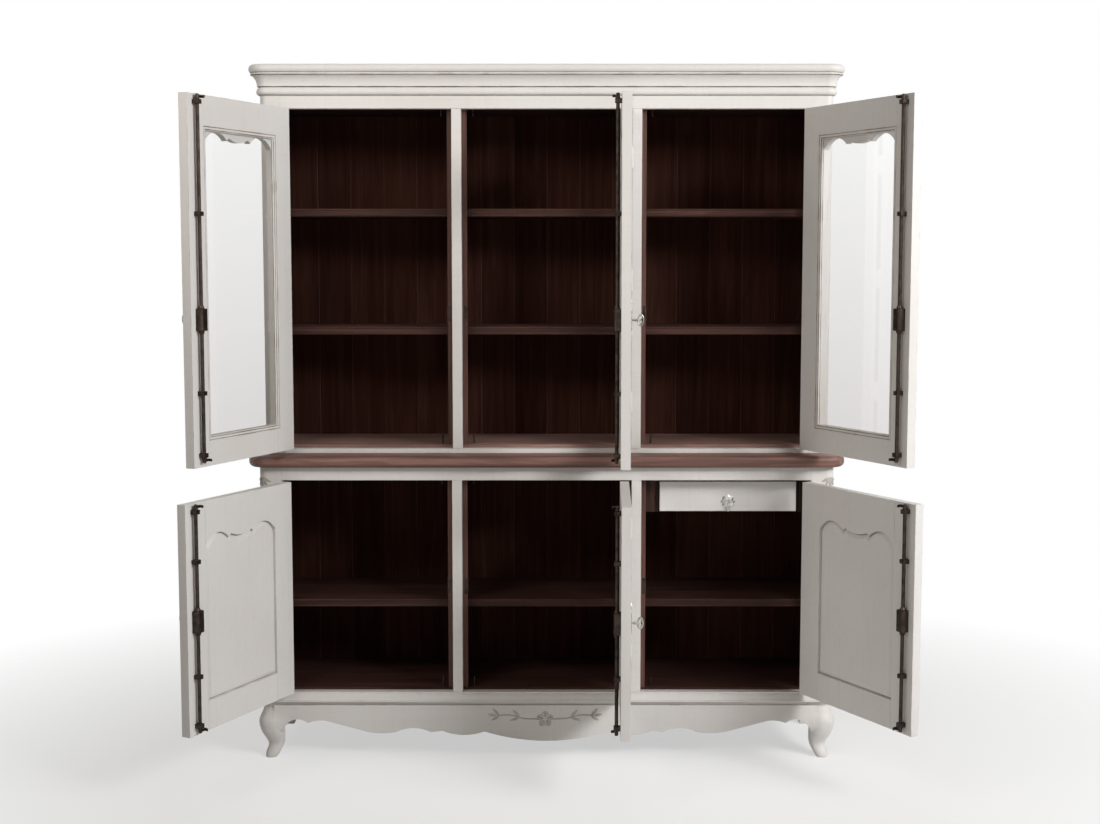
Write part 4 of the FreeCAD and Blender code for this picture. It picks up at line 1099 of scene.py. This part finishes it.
def rodCollars(door, at, lock):
    sizes = rodSizes
    low, high = sizes[door.split("_")[0]]
    fromHook, fromEnd = sizes["fromHook"], sizes["domeFrom"]
    fittings = [(low + fromHook, sizes["collar"], 20), (high - fromHook, sizes["collar"], 20)]
    fittings += [(lock, [(radius, way * up) for radius, up in sizes["cone"]], 24) for way in (-1, 1)]
    wide, tall = sizes["dome"]
    for level, way in ((low - fromEnd, -1), (high + fromEnd, 1)):
        fittings.append((level, onArc(wide, way * tall, sizes["domeAngles"]), 20))
    bm = bmesh.new()
    for level, profile, steps in fittings:
        profile = [(radius * mm, up * mm) for radius, up in profile]
        turned(bm, profile, Matrix.Translation(at(*doorSizes["rod"], level)), steps)
    return outward(bm)


# raised panels of the lower doors: a sloping margin inside the scalloped frame, on both faces
panelSizes = {
    "near": 87.5, "far": 416.5, "low": 289.0, "peak": 751.0,
    "arch": (112.0, 31.0), "cusp": (57.0, 20.0), "tongue": (47.0, 12.0, 22.0),  # across, then drops
    "rings": [(15.5, 34.0), (13.0, 33.9), (10.5, 33.0), (3.4, 26.2), (0.0, 25.6),
              (0.0, 14.6), (3.0, 14.4), (10.5, 10.9), (13.0, 10.1), (15.5, 10.0)],  # inset and depth
    "glazed": (3, 5), "glaze": 0.8,
}


def panelOutline(inset):
    sizes = panelSizes
    middle = (sizes["near"] + sizes["far"]) / 2
    half = (sizes["far"] - sizes["near"]) / 2 - inset
    peak = sizes["peak"] - inset
    archX, archDrop = sizes["arch"]
    cuspX, cuspDrop = sizes["cusp"]
    tongueX, tongueRise, tongueDrop = sizes["tongue"]
    foot = sizes["low"] + inset - peak
    line = [(half, foot), (-half, foot)]
    line += arcThrough((-half, -archDrop), (-archX, 0), (-cuspX, -cuspDrop), 24)
    line += arcThrough((-tongueX, -tongueRise), (0, -tongueDrop), (tongueX, -tongueRise), 20)
    line += arcThrough((cuspX, -cuspDrop), (archX, 0), (half, -archDrop), 24)
    return [(middle + x, peak + z) for x, z in line]


def makePanel(door, at):
    bm = bmesh.new()
    glazeAndPaintedLight = glazeAndPaintedLightLayer(bm)
    strips = loft(bm, [[at(x, deep, z) for x, z in panelOutline(inset)] for inset, deep in panelSizes["rings"]])
    # the floors of the grooves beside the frame get brown glaze and painted shade
    for number in panelSizes["glazed"]:
        for part in strips[number]:
            part[glazeAndPaintedLight] = panelSizes["glaze"]
    name = door + "_raised_panel"
    assemble([outward(bm)], name, paint, door + "_door", "white_paint", door + "_door_panel", angle=34)


# slotted screws in the lock cases, each turned its own way
screwSizes = {
    "radius": 3.2, "slot": 0.9, "across": (460.5, 472.5), "up": 23.0, "seed": 3,
    "shank": (-0.6, 0.1), "head": [(1.0, 0.05), (0.98, 0.4), (0.8, 0.8)],  # size and height
}


def screwMesh():
    sizes = screwSizes
    radius, slot = sizes["radius"], sizes["slot"] / 2
    bm = bmesh.new()
    turned(bm, [(radius * mm, height * mm) for height in sizes["shank"]], Matrix.Identity(4))
    start = asin(slot / radius)
    for turn in (0, pi):
        rings = []
        for size, height in sizes["head"]:
            line = onArc(radius * size, radius * size, evenly(start, pi - 2 * start, 12))
            line = [spotAt(x, max(y, slot), height) for x, y in line]
            rings.append([Matrix.Rotation(turn, 3, "Z") @ spot for spot in line])
        loft(bm, rings)
    return meshFrom(outward(bm), "guide")


def screwTree():
    tree, given = newTree("screws", [("Points", "Object", None), ("Screw", "Object", None), ("Seed", "Int", 1)])
    facing = addNode(tree, "InputNamedAttribute", {"Name": "facing"}, data_type="FLOAT_VECTOR")
    inputs = {"Vector": facing.outputs["Attribute"]}
    stand = outOf(tree, "FunctionNodeAlignRotationToVector", inputs, axis="Z")
    inputs = {3: pi, 8: given["Seed"]}
    spin = addNode(tree, "FunctionNodeRandomValue", inputs, data_type="FLOAT").outputs[1]
    spin = outOf(tree, "ShaderNodeCombineXYZ", {"Z": spin})
    spun = outOf(tree, "FunctionNodeRotateRotation", {0: stand, 1: spin}, rotation_space="LOCAL")
    points, screw = guideOf(tree, given["Points"]), guideOf(tree, given["Screw"])
    inputs = {"Points": points, "Instance": screw, "Rotation": spun}
    return endTree(tree, outOf(tree, "InstanceOnPoints", inputs), bronze)


screwRun = screwTree()


def makeScrews(door, at, lock):
    sizes = screwSizes
    facing = (at(0, 1, 0) - at(0, 0, 0)).normalized()
    heights = [lock + way * sizes["up"] for way in (-1, 1)]
    spots = [at(x, caseSizes["front"], height) for x in sizes["across"] for height in heights]
    mesh = bpy.data.meshes.new("screwSpots")
    mesh.from_pydata(spots, [], [])
    ways = mesh.attributes.new("facing", "FLOAT_VECTOR", "POINT")
    ways.data.foreach_set("vector", [*facing] * len(spots))
    made = runTree(screwRun, {
        "Points": linked("screwSpots", mesh), "Screw": linked("guide", screwMesh()),
        "Seed": sizes["seed"] + doorNames.index(door),
    })
    place(smoothed(made), door + "_lock_screws", bronze, door + "_door", "bronze")


def makeDoor(door):
    hinge = joints[door + "_door_hinge"]
    lock = joints[door + "_key_turn"]["pos_m"][2] / mm
    hand = -round(hinge["axis"][2])
    swing = radians(hinge["range_deg"][0]) * hand
    turn = Matrix.Translation((*hinge["pos_m"][:2], 0)) @ Matrix.Rotation(swing, 4, "Z")
    back = turn.inverted()

    def at(along, through, up):  # from the door's own drawing to where it stands open
        return turn @ spotAt(along * hand, through, up)

    def drawn(shell):
        return [back @ Vector(corner) / mm for ring in shell for corner in ring]

    def isWood(shell):  # not the glazing beads, which are made anew
        return min(spot.y for spot in drawn(shell)) < doorSizes["beadsFrom"]

    def isLeaf(shell):  # of a hinge
        return max(abs(spot.x) for spot in drawn(shell)) < doorSizes["leafReach"]

    def isGuide(shell):  # of the bolt rod: not the key plate, a hinge leaf or the lock case
        low, high = shellBox(shell)
        deep = max(spot.y for spot in drawn(shell)) > doorSizes["front"] + doorSizes["plateDepth"]
        return deep and not isLeaf(shell) and high[2] - low[2] <= doorSizes["guideHeight"] * mm

    glazed = door.startswith("upper")
    finishNode(door + "_door_frame", paint, doorSizes["ease"], isWood, [makeBeads(at)] if glazed else [])
    if glazed:
        makePane(door, at)
    else:
        makePanel(door, at)
    fittings = door + "_door_fittings"
    finishNode(fittings, bronze, doorSizes["fittingEase"], isGuide, [makeCase(at, lock)])
    leaves = [soften(shellMesh(shell), hingeEase * mm) for shell in splitShells(fittings) if isLeaf(shell)]
    assemble(leaves, door + "_hinge_leaves", hingePaint, door + "_door", "white_paint")
    finishNode(door + "_bolt_rod", bronze, rodSizes["ease"], extra=[rodCollars(door, at, lock)])
    makePlate(door, at, lock)
    makeKey(door, at, lock, turn)
    makeScrews(door, at, lock)


for door in doorNames:
    makeDoor(door)
print("doors hung")


# studio: pale floor and backdrop, two lamps from the right and a weak one from the upper left
studio = {
    "background": (1.0, 1.0, 1.0, 1),
    "ambient": (1.0, 0.87, 0.72, 1), "ambientStrength": 0.115,
    "floorColour": (0.86, 0.86, 0.86, 1), "floorRough": 0.9, "floorShine": 0.1, "floorSize": 14.0,
    "pale": (1.1, 2.6, 0.55, 1.0),  # the floor fades to the background away from the feet
}
lamps = {  # place, target, size, watts, colour and beam
    "keyLamp": ((3.6, -3.7, 3.4), (0.0, 0.1, 1.0), (1.2, 1.2), 134, (1, 1, 1), 180),
    "sideLamp": ((3.4, -2.2, 3.0), (0.0, 0.1, 1.0), (1.2, 1.2), 70, (1, 1, 1), 180),
    "crownLamp": ((-1.6, -2.0, 2.9), (-0.3, 0.1, 1.8), (1.2, 0.8), 7.8, (1.0, 0.96, 0.9), 90),
}


def seenDirectly(tree):  # by the camera, or in glass and metal
    path = addNode(tree, "LightPath").outputs
    seen = calc("MAXIMUM", path["Is Camera Ray"], path["Is Glossy Ray"])
    return calc("MAXIMUM", seen, path["Is Transmission Ray"])


def makeStudio():
    world = bpy.data.worlds.new("studio")
    bpy.context.scene.world = world
    world.use_nodes = True
    tree = world.node_tree
    tree.nodes.clear()
    seen = seenDirectly(tree)
    light = outOf(tree, "Background", {"Color": studio["ambient"], "Strength": studio["ambientStrength"]})
    back = outOf(tree, "Background", {"Color": studio["background"], "Strength": 1.0})
    addNode(tree, "OutputWorld", {"Surface": outOf(tree, "MixShader", {0: seen, 1: light, 2: back})})


def makeFloor():
    half = studio["floorSize"] / 2
    mesh = bpy.data.meshes.new("studioFloor")
    corners = [(-half, -half, 0), (half, -half, 0), (half, half, 0), (-half, half, 0)]
    mesh.from_pydata(corners, [], [range(4)])
    finish, tree, shader, spot = newFinish("floorFinish")
    setInputs(shader, {
        "Base Color": studio["floorColour"],
        "Roughness": studio["floorRough"],
        "Specular IOR Level": studio["floorShine"],
    })
    far = addNode(tree, "VectorMath", {0: spot}, operation="LENGTH").outputs["Value"]
    share = times(seenDirectly(tree), spread(far, *studio["pale"]))
    pale = outOf(tree, "Emission", {"Color": studio["background"], "Strength": 1.0})
    mix = outOf(tree, "MixShader", {0: share, 1: shader.outputs[0], 2: pale})
    plug(mix, tree.nodes["Material Output"].inputs["Surface"])
    mesh.materials.append(finish)
    linked("studioFloor", mesh)


def addLamp(name, spot, target, size, power, colour, beam):
    data = bpy.data.lights.new(name, "AREA")
    data.shape = "RECTANGLE"
    data.size, data.size_y = size
    data.energy = power
    data.color = colour
    data.spread = radians(beam)
    lamp = linked(name, data)
    lamp.location = spot
    lamp.rotation_euler = (Vector(target) - Vector(spot)).to_track_quat("-Z", "Y").to_euler()


# view: the photograph's own camera, fitted to the case's edges
cameraPlace = {"spot": (0.0098, -4.646, 1.4976), "pitch": 0.0944, "focalPixels": 1593.7, "framePixels": 1100}


def makeCamera():
    data = bpy.data.cameras.new("photoCamera")
    data.sensor_fit = "HORIZONTAL"
    data.sensor_width = 36.0
    data.lens = data.sensor_width * cameraPlace["focalPixels"] / cameraPlace["framePixels"]
    data.clip_end = 100.0
    camera = linked("photoCamera", data)
    camera.location = cameraPlace["spot"]
    camera.rotation_euler = (pi / 2 - cameraPlace["pitch"], 0.0, 0.0)
    bpy.context.scene.camera = camera


makeStudio()
makeFloor()
for name, settings in lamps.items():
    addLamp(name, *settings)
makeCamera()
bpy.context.scene.view_settings.view_transform = "Standard"
print("studio lit")
